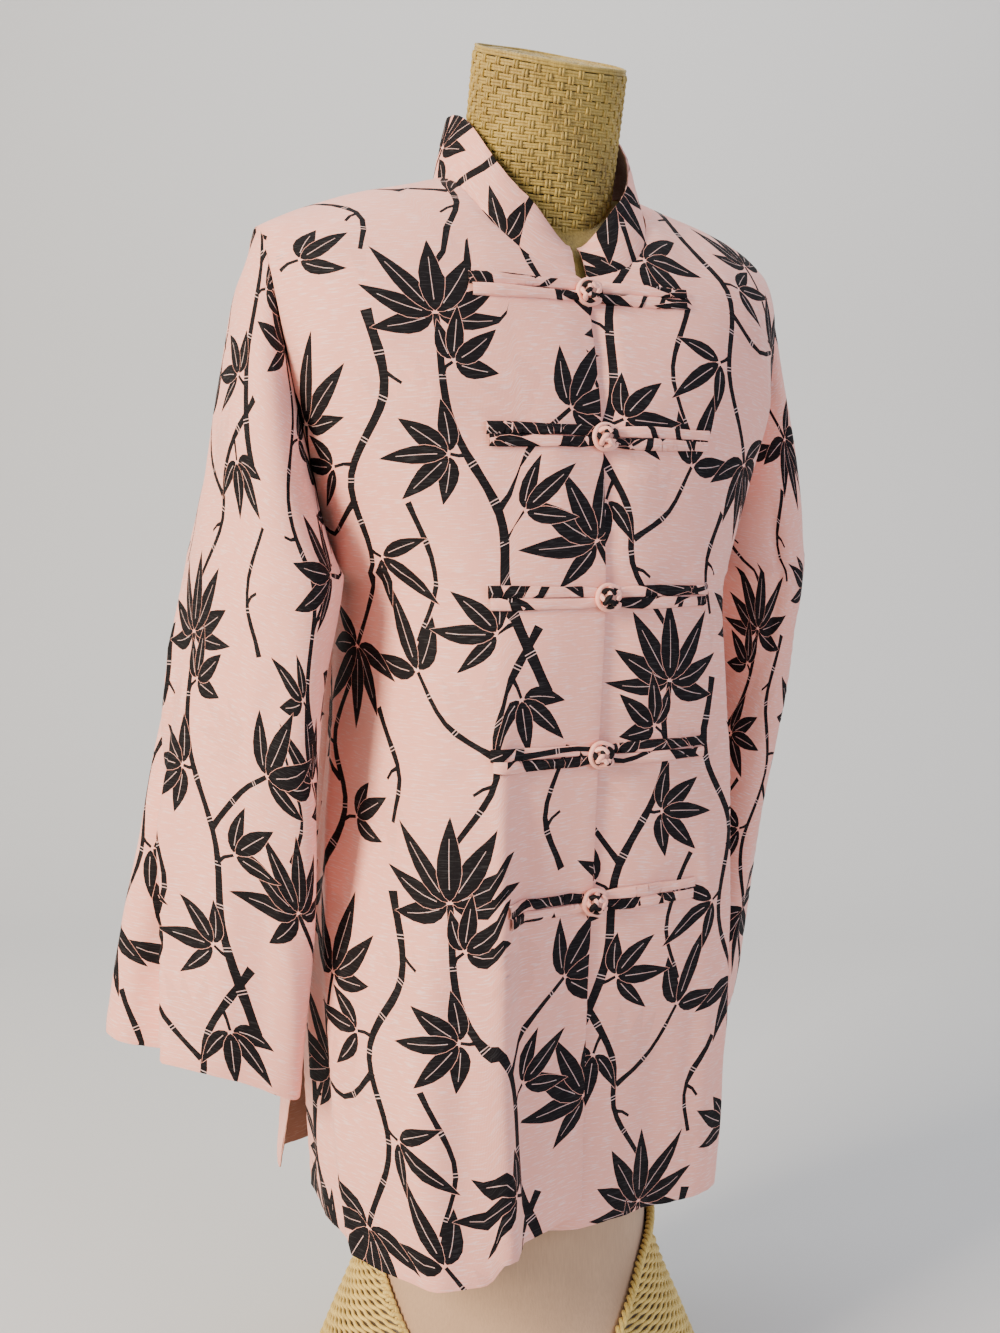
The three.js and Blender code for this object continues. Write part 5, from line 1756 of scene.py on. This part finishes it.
def neck_point(height, turn, radius):
    """A place on the leaning neck, whose top is cut at a slant."""
    lean = math.radians(NECK_LEAN)
    axis = np.array([0, -math.sin(lean), math.cos(lean)])
    front = np.cross(axis, (1, 0, 0))
    middle = lerp(NECK_FOOT, NECK_TOP, 0.5)
    tilt = math.tan(math.radians(NECK_TILT)) * np.clip((height - middle) / (NECK_TOP - middle), 0, 1)
    rise = height + radius * np.sin(turn) * tilt
    return (np.array(NECK_BASE) + np.multiply.outer(rise, axis)
            + np.multiply.outer(radius * np.cos(turn), np.array([1.0, 0, 0]))
            + np.multiply.outer(radius * np.sin(turn), front))


def make_neck():
    """Cord wound in pairs round the neck, bound by short upright pairs, like basket work."""
    source = random.Random(SEED + 1)
    rings, stitches = [], []
    turn = np.linspace(0, 2 * np.pi, 145)[:-1]
    pairs = int((NECK_TOP - CORD_SEEN) / PAIR_PITCH)
    for pair in range(pairs):
        middle = NECK_TOP - PAIR_PITCH / 2 - pair * PAIR_PITCH
        dip = PAIR_DIP * np.maximum(0, np.cos(STITCHES * turn + np.pi * (pair % 2))) ** 4
        for aside in (-PAIR_HALF, PAIR_HALF):
            slack = PAIR_SLACK * np.sin(5 * turn + source.uniform(0, 6)) + source.uniform(-0.12, 0.12)
            rings.append(neck_point(middle + aside + slack, turn, NECK_RADIUS - CORD - CORD_INSET - dip))
        if pair == 0:
            continue
        for c in range(STITCHES):
            at = 2 * np.pi * (c + 0.5 * (pair % 2)) / STITCHES + source.uniform(-0.014, 0.014)
            for aside in (-STITCH_HALF, STITCH_HALF):
                height = middle + np.array([-1, -0.7, 0, 0.7, 1]) * STITCH_REACH
                lift = STITCH_LIFT * np.array([-2.3, -0.1, 0.2, -0.1, -2.3])
                spot = np.full(5, at + aside / NECK_RADIUS)
                stitches.append(neck_point(height, spot, NECK_RADIUS - 0.6 + lift))
    wound = tube_parts(rings, CORD, CORD_SIDES, closed=True)
    bound = tube_parts(stitches, STITCH_CORD, CORD_SIDES)
    cords = mesh_object("neck_cords", *merged(wound, bound, neck_lid(source)), [STRAW])
    # The neck's inner core is the near-black straw: painted shade seen between the cords.
    heights = np.array([NECK_FOOT + 1, -20, 13, 50, NECK_TOP - 4])
    core = np.array([neck_point(np.full(48, h), np.arange(48) * 2 * np.pi / 48, NECK_RADIUS - 3.4)
                     for h in heights])
    inside = surface_object("neck_shade_core", core, SHADE_STRAW, wrap_cols=True, caps=True)
    stand_for(joined([cords, inside], "neck_weave"), "form_neck")


def neck_lid(source):
    """Cord coiled flat over the neck's top."""
    lines = []
    for radius in np.arange(NECK_RADIUS - LID_DROP, 3, -LID_PITCH):
        turn = np.linspace(0, 2 * np.pi, max(16, int(radius * 2.2)))[:-1]
        height = NECK_TOP - LID_DROP + 0.3 * np.sin(6 * turn + source.uniform(0, 6))
        lines.append(neck_point(height, turn, radius))
    return tube_parts(lines, LID_CORD, CORD_SIDES, closed=True)


def merged(*parts):
    """Several lists of points and faces as one."""
    points, faces, base = [], [], 0
    for some, some_faces in parts:
        points.append(some)
        faces += [[i + base for i in face] for face in some_faces]
        base += len(some)
    return np.concatenate(points), faces


FOOT_WALL, FOOT_GAP, RIM_HIGH, RIM_LOW, DIP_TURN = 3.2, 0.9, 152, 34, -22
FOOT_CORD, FOOT_PITCH, FOOT_WAVES, FOOT_WAVE, FOOT_AROUND = 1.55, 3.7, 46, 0.75, 276
RIM_POWER = 1.2  # above 1, the rim rises more gently beside its dips
ROPE, ROPE_STRAND, ROPE_PLAIT, ROPE_TURNS, ROPE_PARTS = 2.1, 1.7, 0.85, 84, 1008
FLARE = {name: [float(row[name]) for row in FORM_ROWS] for name in ("z", "half", "front")}


def flare_point(z, turn, out):
    """A place on the foot's flare, out millimetres from the form's cover."""
    half, deep = (np.interp(z, FLARE["z"], FLARE[name]) + out for name in ("half", "front"))
    place = (half * np.cos(turn), deep * np.sin(turn), np.broadcast_to(z, turn.shape))
    return np.stack(place, axis=-1)


def rim_height(turn):
    """Height of the foot's rim, which dips at the front and at the back."""
    away = turn + math.radians(90 - DIP_TURN)
    return lerp(RIM_LOW, RIM_HIGH, np.abs(np.sin(away)) ** RIM_POWER)


def make_foot():
    """Woven cords round the flare, up to a plaited rope along its rim."""
    turn = np.linspace(0, 2 * np.pi, FOOT_AROUND + 1)[:-1]
    rim = rim_height(turn)
    loops, arcs = [], []
    for k, z in enumerate(np.arange(FOOT_CORD + 0.1, RIM_HIGH - 3, FOOT_PITCH)):
        wave = FOOT_WAVE * np.sin(FOOT_WAVES * turn + np.pi * (k % 2))
        line = flare_point(np.full_like(turn, z), turn, FOOT_GAP + FOOT_WALL - FOOT_CORD - 0.2 + wave)
        seen = z < rim - 2
        if seen.all():
            loops.append(line)
            continue
        first = int(np.flatnonzero(~seen)[0])
        seen, line = np.roll(seen, -first), np.roll(line, -first, axis=0)
        starts = np.flatnonzero(seen & ~np.roll(seen, 1))
        ends = np.flatnonzero(seen & ~np.roll(seen, -1))
        arcs += [line[a : b + 1] for a, b in zip(starts, ends) if b - a > 2]
    round_cords = tube_parts(loops, FOOT_CORD, CORD_SIDES, closed=True)
    open_cords = tube_parts(arcs, FOOT_CORD, CORD_SIDES)
    fine = np.linspace(0, 2 * np.pi, ROPE_PARTS + 1)[:-1]
    ropes = []
    for strand in range(2):
        twist = ROPE_TURNS * fine + np.pi * strand
        out = FOOT_GAP + FOOT_WALL - 0.4 + ROPE_PLAIT * ROPE * np.cos(twist)
        ropes.append(flare_point(rim_height(fine) + ROPE_PLAIT * ROPE * np.sin(twist), fine, out))
    rope = tube_parts(ropes, ROPE_STRAND, CORD_SIDES, closed=True)
    cords = mesh_object("foot_cords", *merged(round_cords, open_cords, rope), [YELLOW])
    # Behind the cords, a thin near-black straw sheet stands for the shade between them: painted shade.
    steps = np.linspace(0, 1, 9)[:, None] * (rim[None, ::3] - 1)
    skin = np.array([flare_point(z, turn[::3], FOOT_GAP + 0.1) for z in steps])
    back = np.array([flare_point(z, turn[::3], FOOT_GAP + 0.9) for z in steps])
    shade_sheet = surface_object("foot_shade_sheet", np.concatenate([skin[::-1], back]), SHADE_STRAW,
                            wrap_rows=True, wrap_cols=True)
    stand_for(joined([cords, shade_sheet], "foot_weave"), "form_foot")


# ------------------------------------------------------------------ everything together

cloths = make_cloths()
pieces = {name: make_cloth_piece(cloth, COLLAR_WALL if name == "collar" else SHELL)
          for name, cloth in cloths.items()}
frogs = make_frogs(cloths)
make_torso()
make_neck()
make_foot()
